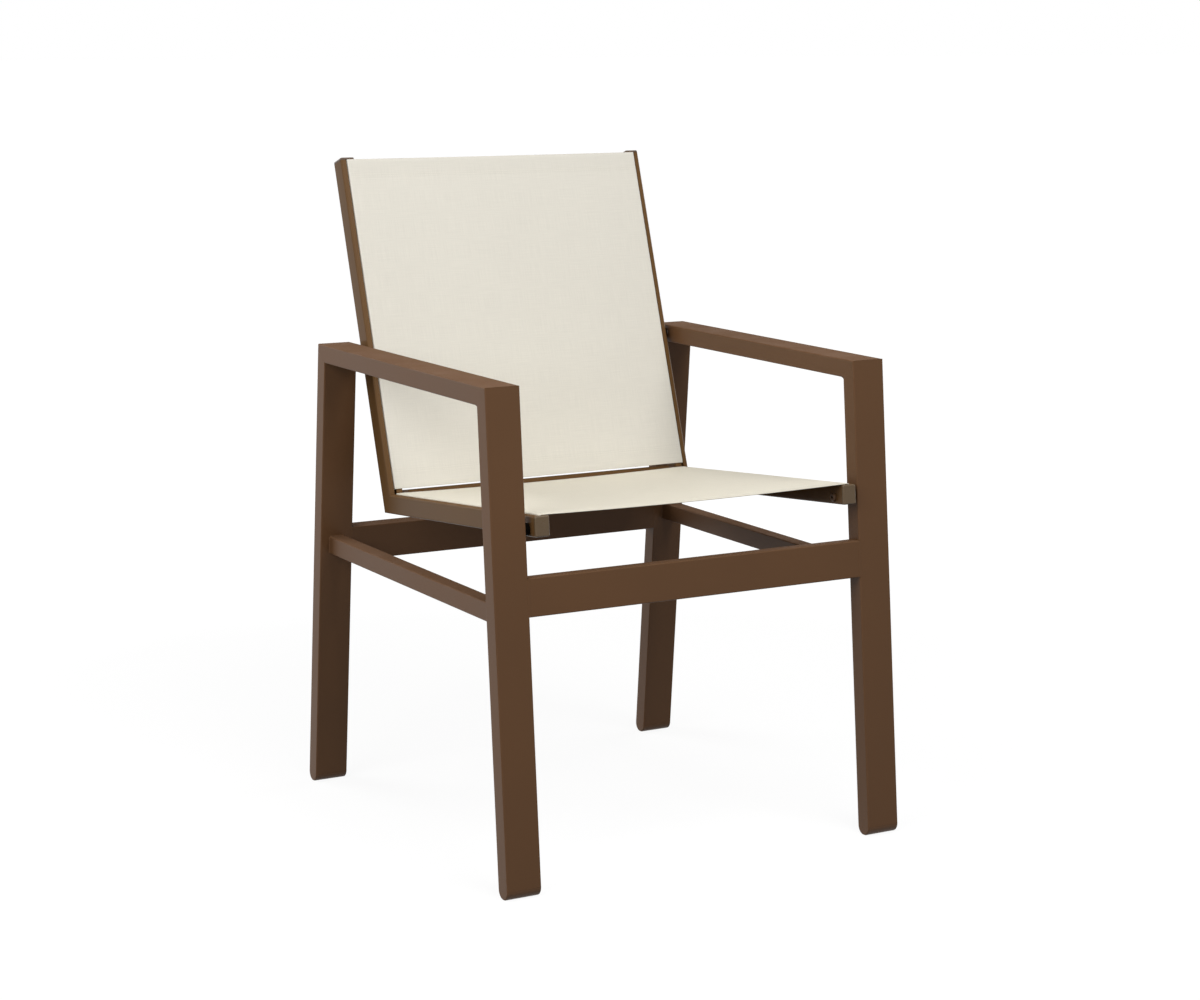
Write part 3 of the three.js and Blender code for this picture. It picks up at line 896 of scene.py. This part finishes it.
@dataclass
class CarriedPieces:
    """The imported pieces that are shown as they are, smoothed and dressed."""

    merge_distance: float = 0.00001
    smooth_angle: float = 32.0

    def smoothing(self) -> bpy.types.NodeTree:
        """Builds the node tree that merges a piece's facets and keeps its real edges sharp.

        Returns:
            A geometry node tree for a modifier.
        """
        tree = bpy.data.node_groups.new("smooth_round_faces", "GeometryNodeTree")
        tree.interface.new_socket("Geometry", in_out="INPUT", socket_type="NodeSocketGeometry")
        tree.interface.new_socket("Geometry", in_out="OUTPUT", socket_type="NodeSocketGeometry")
        sheet = NodeSheet(tree)
        bare = sheet.node("GeometryNodeRemoveAttribute")
        sheet.feed(bare, Geometry=sheet.node("NodeGroupInput").outputs[0], Name="custom_normal")
        merged = sheet.node("GeometryNodeMergeByDistance")
        sheet.feed(merged, Geometry=bare.outputs[0], Distance=self.merge_distance)
        faces = sheet.node("GeometryNodeSetShadeSmooth", domain="FACE")
        sheet.feed(faces, Geometry=merged.outputs[0], Shade_Smooth=True)
        edges = sheet.node("GeometryNodeSetShadeSmooth", domain="EDGE")
        sheet.feed(edges, Geometry=faces.outputs[0], Shade_Smooth=True)
        turn = sheet.node("GeometryNodeInputMeshEdgeAngle").outputs["Unsigned Angle"]
        real = sheet.math("GREATER_THAN", turn, math.radians(self.smooth_angle))
        sharp = sheet.node("GeometryNodeSetShadeSmooth", domain="EDGE")
        sheet.feed(sharp, Geometry=edges.outputs[0], Selection=real, Shade_Smooth=False)
        sheet.feed(sheet.node("NodeGroupOutput"), Geometry=sharp.outputs[0])
        return tree

    def dress(self) -> None:
        """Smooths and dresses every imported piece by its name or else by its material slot."""
        tree = self.smoothing()
        finishes = {finish.slot: finish for finish in SHOWN_FINISHES}
        for name, node in frame["nodes"].items():
            finish = finishes.get(node.material_slots[0].material.name)
            if finish is None:
                continue
            finish = next((own for ending, own in NODE_FINISHES.items() if name.endswith(ending)), finish)
            node.material_slots[0].material = finish.material()
            node.modifiers.new("smooth_round_faces", "NODES").node_group = tree
            weights = node.modifiers.new("flat_faces_stay_flat", "WEIGHTED_NORMAL")
            weights.keep_sharp = True
            LOG.info("%s: %s", name, finish.slot)


@dataclass
class FrameWelds:
    """The weld fillets and ground butt seams that join the frame's tubes."""

    leg_inner: float = 0.2534
    leg_outer: float = 0.3026
    tube_depth: float = 0.025
    corner_radius: float = 0.0016
    apron_half_height: float = 0.025
    front_apron_middle: float = 0.381
    rear_apron_middle: float = 0.3573
    stretcher_half_width: float = 0.0113
    stretcher_half_height: float = 0.0126
    stretcher_middle: float = 0.3584
    foot_height: float = 0.012
    joint_gap: float = 0.0003
    fillet: float = 0.0008
    ripple_pitch: float = 0.0021
    ripple: float = 0.00005
    step: float = 0.0007
    bead_end: float = 0.55
    bead_rise: float = 0.45
    rise_steps: int = 2
    bead_facets: int = 6
    bead_hollow: float = 0.22
    seam_proud: float = 0.00004
    seam_reach: float = 0.0021
    seam_cover: float = 0.75

    def bead(self, piece: MeshBuilder, start: Vector, end: Vector, first: Vector, second: Vector) -> None:
        """Adds one fillet along a straight corner.

        Args:
            piece: The piece that takes the fillet.
            start: Where the corner starts.
            end: Where it ends.
            first: The unit vector away from the corner on one face.
            second: The unit vector away from the corner on the other face.
        """
        length = (end - start).length
        count = max(3, round(length / self.step))
        sections = []
        for i in range(count + 1):
            place = start.lerp(end, i / count)
            wave = self.ripple * math.sin(2 * math.pi * length * i / count / self.ripple_pitch)
            taper = min(1.0, self.bead_end + self.bead_rise * min(i, count - i) / self.rise_steps)
            size = self.fillet * taper + wave
            section = [place - (first + second) * self.joint_gap]
            hollow = (first + second) * (self.bead_hollow * size)
            for k in range(self.bead_facets + 1):
                t = k / self.bead_facets
                point = place + first * (size * (1 - t) ** 2) + second * (size * t**2)
                section.append(point + hollow * (2 * t * (1 - t)))
            sections.append(section)
        piece.loft(sections)

    def butt(
        self, piece: MeshBuilder, run: SideRun, side: Side, along: tuple[float, float], depth: float
    ) -> None:
        """Adds the ground seam where an apron's face runs on flush into the leg's face.

        Args:
            piece: The piece that takes the seam.
            run: The leg's run.
            side: The side of the chair.
            along: Where the seam starts and ends along the leg.
            depth: The depth of the flush face.
        """
        outward = -1.0 if depth == 0.0 else 1.0
        skin, root = depth + outward * self.seam_proud, depth - outward * self.corner_radius
        inner, outer = self.leg_inner - self.seam_reach, self.leg_inner + self.seam_reach
        profile = [
            (inner, depth - outward * self.seam_proud),
            (inner + self.seam_reach / 4, skin),
            (outer - self.seam_reach / 4, skin),
            (outer, depth - outward * self.seam_proud),
            (outer, root),
            (inner, root),
        ]
        sections = [[run.point(side.value * x, place, d) for x, d in profile] for place in along]
        piece.loft(sections)

    def apron_ends(self, name: str, run: SideRun, middle: float) -> None:
        """Makes the welds at both ends of one apron rail.

        Args:
            name: The name of the welds.
            run: The run of the legs that carry the apron.
            middle: The height of the apron's middle.
        """
        piece = MeshBuilder(name)
        centre = run.along_at_height(middle, self.tube_depth / 2)
        bottom, top = centre - self.apron_half_height, centre + self.apron_half_height
        along = run.along_direction
        for side in Side:
            inward = Vector((-side.value, 0.0, 0.0))
            x = side.value * self.leg_inner
            for place, away in ((bottom, -along), (top, along)):
                start = run.point(x, place, self.corner_radius)
                end = run.point(x, place, self.tube_depth - self.corner_radius)
                self.bead(piece, start, end, away, inward)
            for depth in (0.0, self.tube_depth):
                ends = (bottom + self.corner_radius / 2, top - self.corner_radius / 2)
                self.butt(piece, run, side, ends, depth)
        piece.make(FRAME_PAINT.material(), FRAME_PAINT.slot)

    def stretcher_ends(self, side: Side) -> None:
        """Makes the fillets round both ends of one side stretcher.

        Args:
            side: The side of the chair.
        """
        piece = MeshBuilder(f"{side.name.lower()}_stretcher_welds")
        middle = side.value * (self.leg_inner + self.leg_outer) / 2
        for run in (FRONT_LEG, REAR_LEG):
            heights = (
                self.stretcher_middle - self.stretcher_half_height,
                self.stretcher_middle + self.stretcher_half_height,
            )
            low, high = (run.along_at_height(h, self.tube_depth) for h in heights)
            away = run.depth_direction
            up = run.along_direction * (1.0 if high > low else -1.0)
            reach = self.stretcher_half_width
            for place, outward in ((low, -up), (high, up)):
                start = run.point(middle - reach, place, self.tube_depth)
                end = run.point(middle + reach, place, self.tube_depth)
                self.bead(piece, start, end, outward, away)
            for sign in (-1.0, 1.0):
                start = run.point(middle + sign * reach, low, self.tube_depth)
                end = run.point(middle + sign * reach, high, self.tube_depth)
                self.bead(piece, start, end, Vector((sign, 0.0, 0.0)), away)
        piece.make(FRAME_PAINT.material(), FRAME_PAINT.slot)

    def foot_seam(self, name: str, run: SideRun, side: Side, towards_floor: float) -> None:
        """Fills the seam between a leg's end and its foot plug.

        Args:
            name: The name of the seam.
            run: The leg's run.
            side: The side of the chair.
            towards_floor: 1 where the run goes down, -1 where it goes up.
        """
        piece = MeshBuilder(name)
        end = run.along_at_height(self.foot_height, self.tube_depth / 2)
        middle = end + towards_floor * self.joint_gap / 2
        outline = self.outline(side)
        piece.loft(
            [[run.point(x, middle + shift, depth) for x, depth in outline] for shift in self.seam_shifts()]
        )
        piece.make(FRAME_PAINT.material(), FRAME_PAINT.slot)

    def seam_shifts(self) -> tuple[float, float]:
        """Gives how far a seam reaches to either side of its middle."""
        return -self.joint_gap * self.seam_cover, self.joint_gap * self.seam_cover

    def outline(self, side: Side) -> list[tuple[float, float]]:
        """Gives the tube's outline, a hair proud.

        Args:
            side: The side of the chair.

        Returns:
            The outline's points as sideways places and depths.
        """
        middle = side.value * (self.leg_inner + self.leg_outer) / 2
        half = (self.leg_outer - self.leg_inner) / 2
        radius = self.corner_radius
        reach = radius + self.seam_proud / 2
        points = []
        for sx, sd, start in ((1, 1, 0), (-1, 1, 90), (-1, -1, 180), (1, -1, 270)):
            for turn in corner_turns(start):
                x = middle + sx * (half - radius) + reach * math.cos(turn)
                depth = self.tube_depth / 2 + sd * (self.tube_depth / 2 - radius) + reach * math.sin(turn)
                points.append((x, depth))
        return points

    def mitre(self, name: str, first: SideRun, second: SideRun, side: Side) -> None:
        """Fills the ground mitre seam between two tubes.

        Args:
            name: The name of the seam.
            first: The run that ends at the mitre.
            second: The run that starts there.
            side: The side of the chair.
        """
        piece = MeshBuilder(name)
        outer = first.meets(second, 0.0, 0.0)
        inner = first.meets(second, self.tube_depth, self.tube_depth)
        slope = (inner - outer) / self.tube_depth
        piece.loft(
            [
                [first.point(x, outer + slope * depth + shift, depth) for x, depth in self.outline(side)]
                for shift in self.seam_shifts()
            ]
        )
        piece.make(FRAME_PAINT.material(), FRAME_PAINT.slot)

    def make(self) -> None:
        """Makes every weld of the frame."""
        self.apron_ends("front_apron_welds", FRONT_LEG, self.front_apron_middle)
        self.apron_ends("rear_apron_welds", REAR_LEG, self.rear_apron_middle)
        for side in Side:
            self.stretcher_ends(side)
            name = side.name.lower()
            self.mitre(f"{name}_front_mitre_seam", FRONT_LEG, ARM, side)
            self.mitre(f"{name}_rear_mitre_seam", ARM, REAR_LEG, side)
            self.foot_seam(f"{name}_front_foot_seam", FRONT_LEG, side, -1.0)
            self.foot_seam(f"{name}_rear_foot_seam", REAR_LEG, side, 1.0)


@dataclass
class RailSeams:
    """The closed mitre seams where each seat rail meets its back rail."""

    rail_outer: float = 0.2448
    rail_width: float = 0.0208
    rail_depth: float = 0.027
    front_radius: float = 0.003
    rear_radius: float = 0.002
    slot_inset: float = 0.0075
    slot_width: float = 0.0038
    slot_depth: float = 0.0086
    half_thickness: float = 0.00022
    proud: float = 0.00002

    def corner(self, inset: float, depth: float, radius: float, start: float) -> list[tuple[float, float]]:
        """Gives the points of one round corner.

        Args:
            inset: How far the corner's centre is from the rail's outer face.
            depth: How deep the centre is.
            radius: The corner's radius.
            start: The angle in degrees at which the corner starts.

        Returns:
            The corner's points as insets and depths.
        """
        reach = radius + self.proud
        turns = corner_turns(start)
        return [(inset + reach * math.cos(turn), depth + reach * math.sin(turn)) for turn in turns]

    def outline(self) -> list[tuple[float, float]]:
        """Gives the rail's outline, with its open slot.

        Returns:
            The outline's points as insets from the rail's outer face and depths.
        """
        front, rear = self.front_radius, self.rear_radius
        points = self.corner(front, front, front, 180.0)
        slot_end = self.slot_inset + self.slot_width
        points += [(self.slot_inset, -self.proud), (self.slot_inset, self.slot_depth)]
        points += [(slot_end, self.slot_depth), (slot_end, -self.proud)]
        points += self.corner(self.rail_width - rear, rear, rear, 270.0)
        points += self.corner(self.rail_width - rear, self.rail_depth - rear, rear, 0.0)
        points += self.corner(rear, self.rail_depth - rear, rear, 90.0)
        return points

    def make(self) -> None:
        """Makes the seam on each side."""
        outer = SEAT_RUN.meets(BACK_RUN, 0.0, 0.0)
        slope = (SEAT_RUN.meets(BACK_RUN, self.rail_depth, self.rail_depth) - outer) / self.rail_depth
        for side in Side:
            piece = MeshBuilder(f"{side.name.lower()}_rail_mitre_seam")
            places = [(side.value * (self.rail_outer - inset), depth) for inset, depth in self.outline()]
            piece.loft(
                [
                    [SEAT_RUN.point(x, outer + slope * depth + shift, depth) for x, depth in places]
                    for shift in (-self.half_thickness, self.half_thickness)
                ]
            )
            piece.make(RAIL_PAINT.material(), RAIL_PAINT.slot)


# Slings


@dataclass
class Sling:
    """A sling: one sheet of cloth, hemmed at both ends, whose sides wrap a spline in each rail."""

    name: str
    node: str
    run: SideRun
    start: float
    end: float
    cloth: ClothFinish
    sag: float
    thickness: float = 0.00055
    face_depth: float = -0.00122
    lip_x: float = 0.224
    groove_x: float = 0.2354
    groove_depth: float = 0.0053
    wrap_radius: float = 0.0027
    wrap_opening: float = 8.0
    lip_radius: float = 0.0011
    hem: float = 0.028
    fold_radius: float = 0.00029
    across_steps: int = 40
    neck_steps: int = 3
    lip_steps: int = 6
    wrap_steps: int = 20
    hem_steps: int = 4
    fold_steps: int = 6
    along_step: float = 0.006
    end_sag: float = 0.8
    settled_sag: float = 0.2
    settling_hems: float = 3.0
    stitch_length: float = 0.0026
    stitch_gap: float = 0.0008
    stitch_rows: tuple[float, ...] = (0.0026, 0.0056)
    stitch_shares: tuple[float, ...] = (0.0, 0.14, 0.5, 0.86, 1.0)
    thread_radius: float = 0.00018
    thread_end: float = 0.45
    thread_swell: float = 0.55
    thread_sunk: float = 0.4
    thread_sides: int = 6

    def half_section(self) -> list[tuple[float, float, float, float]]:
        """Gives the cloth's line from the chair's middle to one spline.

        Returns:
            For each point its distance sideways and its depth, and the way to the line's inner side.
        """
        neck_x = self.groove_x + self.wrap_radius * math.sin(math.radians(self.wrap_opening))
        bend_x, bend_depth = neck_x - self.lip_radius, self.face_depth + self.lip_radius
        across = [self.lip_x * i / self.across_steps for i in range(self.across_steps)]
        neck = self.neck_steps
        across += [self.lip_x + (bend_x - self.lip_x) * i / neck for i in range(neck)]
        line = [(x, self.face_depth, 0.0, 1.0) for x in across]
        for i in range(self.lip_steps + 1):
            angle = math.radians(90 / self.lip_steps * i)
            sine, cosine = math.sin(angle), math.cos(angle)
            x, depth = bend_x + self.lip_radius * sine, bend_depth - self.lip_radius * cosine
            line.append((x, depth, -sine, cosine))
        wrap_top = self.groove_depth - self.wrap_radius * math.cos(math.radians(self.wrap_opening))
        line.append((neck_x, (bend_depth + wrap_top) / 2, -1.0, 0.0))
        turn = 360.0 - 2 * self.wrap_opening
        for i in range(self.wrap_steps + 1):
            angle = math.radians(self.wrap_opening + turn * i / self.wrap_steps)
            sine, cosine = math.sin(angle), math.cos(angle)
            x, depth = self.groove_x + self.wrap_radius * sine, self.groove_depth - self.wrap_radius * cosine
            line.append((x, depth, -sine, cosine))
        return line

    def section(self) -> list[tuple[float, float, float, float]]:
        """Gives the cloth's line from the left spline to the right one.

        Returns:
            For each point its place sideways and its depth, and the way to the line's inner side.
        """
        half = self.half_section()
        mirrored = [(-x, depth, -nx, nd) for x, depth, nx, nd in reversed(half[1:])]
        return mirrored + half

    def lengthwise(self) -> list[tuple[float, float]]:
        """Gives the cloth's line from one hem to the other.

        Returns:
            For each point its place along the run and how far it is folded under the face.
        """
        under, radius, n = 2 * self.fold_radius, self.fold_radius, self.hem_steps
        first, last = self.start + radius, self.end - radius
        line = [(self.start + self.hem * (n - i) / n + radius * i / n, under) for i in range(n + 1)]
        line += self.fold(first, -1)
        count = round((last - first) / self.along_step)
        line += [(first + (last - first) * i / count, 0.0) for i in range(count + 1)]
        line += self.fold(last, 1)
        line += [(self.end - self.hem * i / n - radius * (n - i) / n, under) for i in range(n + 1)]
        return line

    def fold(self, centre: float, outward: int) -> list[tuple[float, float]]:
        """Gives the points inside one fold of the cloth's line.

        Args:
            centre: Where the fold's centre is along the run.
            outward: -1 for the fold at the start, where the line comes up, 1 for the one at the end.

        Returns:
            For each point its place along the run and how far it is folded under the face.
        """
        angles = [math.radians(180 / self.fold_steps * i) for i in range(1, self.fold_steps)]
        reach = outward * self.fold_radius
        return [(centre + reach * math.sin(a), self.fold_radius - reach * math.cos(a)) for a in angles]

    def sag_at(self, x: float, along: float) -> float:
        """Finds how far the taut cloth gives between the rails.

        Args:
            x: The place sideways.
            along: The place along the run.

        Returns:
            The extra depth.
        """
        span = max(0.0, 1.0 - (x / self.lip_x) ** 2)
        inside = min(along - self.start, self.end - along) / self.hem
        settled = min(1.0, max(0.0, inside / self.settling_hems))
        return self.sag * span * (self.end_sag + self.settled_sag * settled)

    def make_cloth(self) -> bpy.types.Object:
        """Returns:
            The cloth's object.
        """
        section, lengthwise = self.section(), self.lengthwise()
        widths, lengths = running_lengths(section), running_lengths(lengthwise)
        rows, places = [], []
        for (along, under), length in zip(lengthwise, lengths):
            row = []
            for x, depth, nx, nd in section:
                sag = self.sag_at(x, along)
                row.append(self.run.point(x + nx * under, along, depth + nd * under + sag))
            rows.append(row)
            places.append([(width, length) for width in widths])
        builder = MeshBuilder(self.name)
        builder.grid(rows, places)
        cloth = replace(self.cloth, cut_length=lengths[-1], hem_length=2 * self.hem)
        piece = builder.make(cloth.material(), cloth.slot, smooth_angle=60.0)
        body = piece.modifiers.new("cloth_thickness", "SOLIDIFY")
        body.thickness, body.offset = self.thickness, 0.0
        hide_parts(self.node)
        return piece

    def stitch(self, builder: MeshBuilder, start: Vector, along: Vector, out: Vector) -> None:
        """Adds one stitch, a short bowed thread.

        Args:
            builder: The piece that takes the stitch.
            start: Where the thread comes out of the cloth.
            along: The unit vector along the seam.
            out: The unit vector out of the cloth.
        """
        side = along.cross(out)
        sections = []
        turns = [2 * math.pi * k / self.thread_sides for k in range(self.thread_sides)]
        for share in self.stitch_shares:
            bow = math.sin(math.pi * share)
            radius = self.thread_radius * (self.thread_end + self.thread_swell * bow)
            raised = out * (self.thread_radius * (bow - self.thread_sunk))
            centre = start + along * (self.stitch_length * share) + raised
            sections.append([centre + (side * math.cos(t) + out * math.sin(t)) * radius for t in turns])
        builder.loft(sections)

    def make_stitching(self) -> bpy.types.Object:
        """Makes the rows of stitches that hold both hems, on both faces of the cloth.

        Returns:
            The stitching's object.
        """
        builder = MeshBuilder(f"{self.name}_stitching")
        along = Vector((1.0, 0.0, 0.0))
        pitch = self.stitch_length + self.stitch_gap
        count = int(2 * (self.groove_x - self.lip_radius * 2) / pitch)
        faces = (
            (self.face_depth - self.thickness / 2, -1.0),
            (self.face_depth + 2 * self.fold_radius + self.thickness / 2, 1.0),
        )
        for inset in self.stitch_rows:
            for place in (self.start + self.hem - inset, self.end - self.hem + inset):
                for depth, outward in faces:
                    out = self.run.depth_direction * outward
                    for i in range(count):
                        x = (i - count / 2) * pitch
                        middle = x + self.stitch_length / 2
                        if outward > 0 and abs(middle) > self.lip_x - self.stitch_length:
                            continue
                        sag = self.sag_at(middle, place)
                        self.stitch(builder, self.run.point(x, place, depth + sag), along, out)
        return builder.make(THREAD.material(), self.cloth.slot)

    def make(self) -> None:
        cloth = self.make_cloth()
        stitching = self.make_stitching()
        width = running_lengths(self.section())[-1]
        length = running_lengths(self.lengthwise())[-1]
        LOG.info("%s: cut %.3f by %.3f m", self.name, width, length)


# Studio


@dataclass(frozen=True)
class Softbox:
    """A square area lamp that looks at a point."""

    name: str
    place: Place
    size: float
    watts: float
    target: Place = (0.0, 0.0, 0.6)

    def make(self) -> None:
        """Puts the lamp in the scene."""
        data = bpy.data.lights.new(self.name, "AREA")
        data.shape, data.size, data.energy = "SQUARE", self.size, self.watts
        lamp = bpy.data.objects.new(self.name, data)
        lamp.location = self.place
        lamp.visible_camera = False
        lamp.rotation_mode = "QUATERNION"
        lamp.rotation_quaternion = (Vector(self.target) - Vector(self.place)).to_track_quat("-Z", "Y")
        bpy.context.scene.collection.objects.link(lamp)
        LOG.info("lamp %s: %.0f W", self.name, self.watts)


@dataclass
class Studio:
    """A pale floor, a white backdrop, soft lamps and the camera."""

    lamps: tuple[Softbox, ...]
    ambient: float = 0.12
    floor_colour: Colour = (0.12, 0.12, 0.12)
    floor_glow: float = 0.9
    floor_size: float = 150.0
    lit_radius: float = 1.2
    camera_place: Place = (-1.75506, -3.13588, 1.09583)
    camera_azimuth: float = -29.41
    camera_elevation: float = 9.035
    camera_roll: float = 0.103
    focal_pixels: float = 2606.54
    picture_pixels: float = 1200.0
    sensor_width: float = 36.0
    shift: float = -0.05
    clip_end: float = 200.0

    @staticmethod
    def seen(sheet: NodeSheet) -> bpy.types.NodeSocket:
        """Tells the rays that show a surface from those that light one.

        Args:
            sheet: The sheet that takes the nodes.

        Returns:
            A socket that is 1 for camera, glossy and transmission rays and 0 for others.
        """
        path = sheet.node("ShaderNodeLightPath").outputs
        direct = sheet.math("ADD", path["Is Camera Ray"], path["Is Glossy Ray"])
        return sheet.math("ADD", direct, path["Is Transmission Ray"], clamp=True)

    def make_world(self) -> None:
        """Lights the room evenly and shows white behind the chair."""
        world = bpy.data.worlds.new("studio")
        world.use_nodes = True
        sheet = NodeSheet(world.node_tree)
        strength = sheet.math("MULTIPLY_ADD", self.seen(sheet), 1.0 - self.ambient, self.ambient)
        sky = sheet.node("ShaderNodeBackground")
        sheet.feed(sky, Color=(1.0, 1.0, 1.0), Strength=strength)
        sheet.feed(sheet.node("ShaderNodeOutputWorld"), Surface=sky.outputs[0])
        bpy.context.scene.world = world

    def make_floor(self) -> None:
        """Makes the floor, which glows to the camera and keeps the chair's shadow."""
        half = self.floor_size / 2
        mesh = bpy.data.meshes.new("floor")
        corners = [(-half, -half, 0.0), (half, -half, 0.0), (half, half, 0.0), (-half, half, 0.0)]
        mesh.from_pydata(corners, [], [(0, 1, 2, 3)])
        material = bpy.data.materials.new("pale_floor")
        material.use_nodes = True
        sheet = NodeSheet(material.node_tree)
        matt = sheet.feed(sheet.node("ShaderNodeBsdfDiffuse"), Color=self.floor_colour)
        glow = sheet.node("ShaderNodeEmission")
        far = sheet.node("ShaderNodeVectorMath", operation="LENGTH")
        sheet.tree.links.new(Finish.chair_place(sheet), far.inputs[0])
        reach = sheet.node("ShaderNodeMapRange", clamp=True)
        near = self.lit_radius
        sheet.feed(reach, Value=far.outputs["Value"], From_Min=near, From_Max=2 * near)
        sheet.feed(reach, To_Min=self.floor_glow, To_Max=1.0)
        sheet.feed(glow, Strength=sheet.math("MULTIPLY", self.seen(sheet), reach.outputs[0]))
        both = sheet.node("ShaderNodeAddShader")
        sheet.tree.links.new(matt.outputs[0], both.inputs[0])
        sheet.tree.links.new(glow.outputs[0], both.inputs[1])
        sheet.feed(sheet.node("ShaderNodeOutputMaterial"), Surface=both.outputs[0])
        mesh.materials.append(material)
        floor = bpy.data.objects.new("floor", mesh)
        bpy.context.scene.collection.objects.link(floor)

    def make_camera(self) -> None:
        """Sets the camera at the photograph's viewing angle."""
        data = bpy.data.cameras.new("camera")
        data.sensor_width = self.sensor_width
        data.lens = self.focal_pixels * data.sensor_width / self.picture_pixels
        data.shift_y = self.shift
        data.clip_end = self.clip_end
        camera = bpy.data.objects.new("camera", data)
        turn, lift = math.radians(self.camera_azimuth), math.radians(self.camera_elevation)
        flat = math.cos(lift)
        back = Vector((math.sin(turn) * flat, -math.cos(turn) * flat, math.sin(lift)))
        level = Vector((0.0, 0.0, 1.0)).cross(back).normalized()
        upward = back.cross(level)
        roll = math.radians(self.camera_roll)
        right = level * math.cos(roll) + upward * math.sin(roll)
        up = upward * math.cos(roll) - level * math.sin(roll)
        turned = Matrix((right, up, back)).transposed().to_4x4()
        camera.matrix_world = Matrix.Translation(self.camera_place) @ turned
        bpy.context.scene.collection.objects.link(camera)
        bpy.context.scene.camera = camera

    def make(self) -> None:
        """Makes the whole studio."""
        for lamp in self.lamps:
            lamp.make()
        self.make_world()
        self.make_floor()
        self.make_camera()
        bpy.context.scene.view_settings.view_transform = "Standard"


def clear_start_scene() -> None:
    """Removes the objects that Blender starts with."""
    kept = set(frame["nodes"].values()) | set(frame["bodies"].values())
    for thing in list(bpy.data.objects):
        if thing not in kept:
            bpy.data.objects.remove(thing)


def main() -> None:
    """Builds the dressed chair and the studio."""
    logging.basicConfig(level=logging.INFO, format="%(message)s")
    clear_start_scene()
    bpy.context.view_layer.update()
    CarriedPieces().dress()
    FrameWelds().make()
    RailSeams().make()
    Sling("back_cloth", "back_sling", BACK_RUN, start=0.0076, end=0.4857, cloth=BACK_CLOTH, sag=0.0018).make()
    Sling("seat_cloth", "seat_sling", SEAT_RUN, start=0.0, end=0.43004, cloth=SEAT_CLOTH, sag=0.003).make()
    Studio(
        lamps=(
            Softbox("key_left", (-2.4, -1.0, 1.8), size=1.8, watts=43.0),
            Softbox("front", (0.3, -1.9, 2.6), size=1.8, watts=49.0),
            Softbox("overhead", (-0.1, -0.7, 2.4), size=1.0, watts=6.0, target=(0.0, 0.0, 0.5)),
            Softbox("rear_left", (-1.8, 2.6, 2.0), size=1.8, watts=46.0),
            Softbox("right", (2.8, 0.6, 1.1), size=1.8, watts=32.0, target=(0.0, 0.0, 0.5)),
        )
    ).make()


if __name__ == "__main__":
    main()
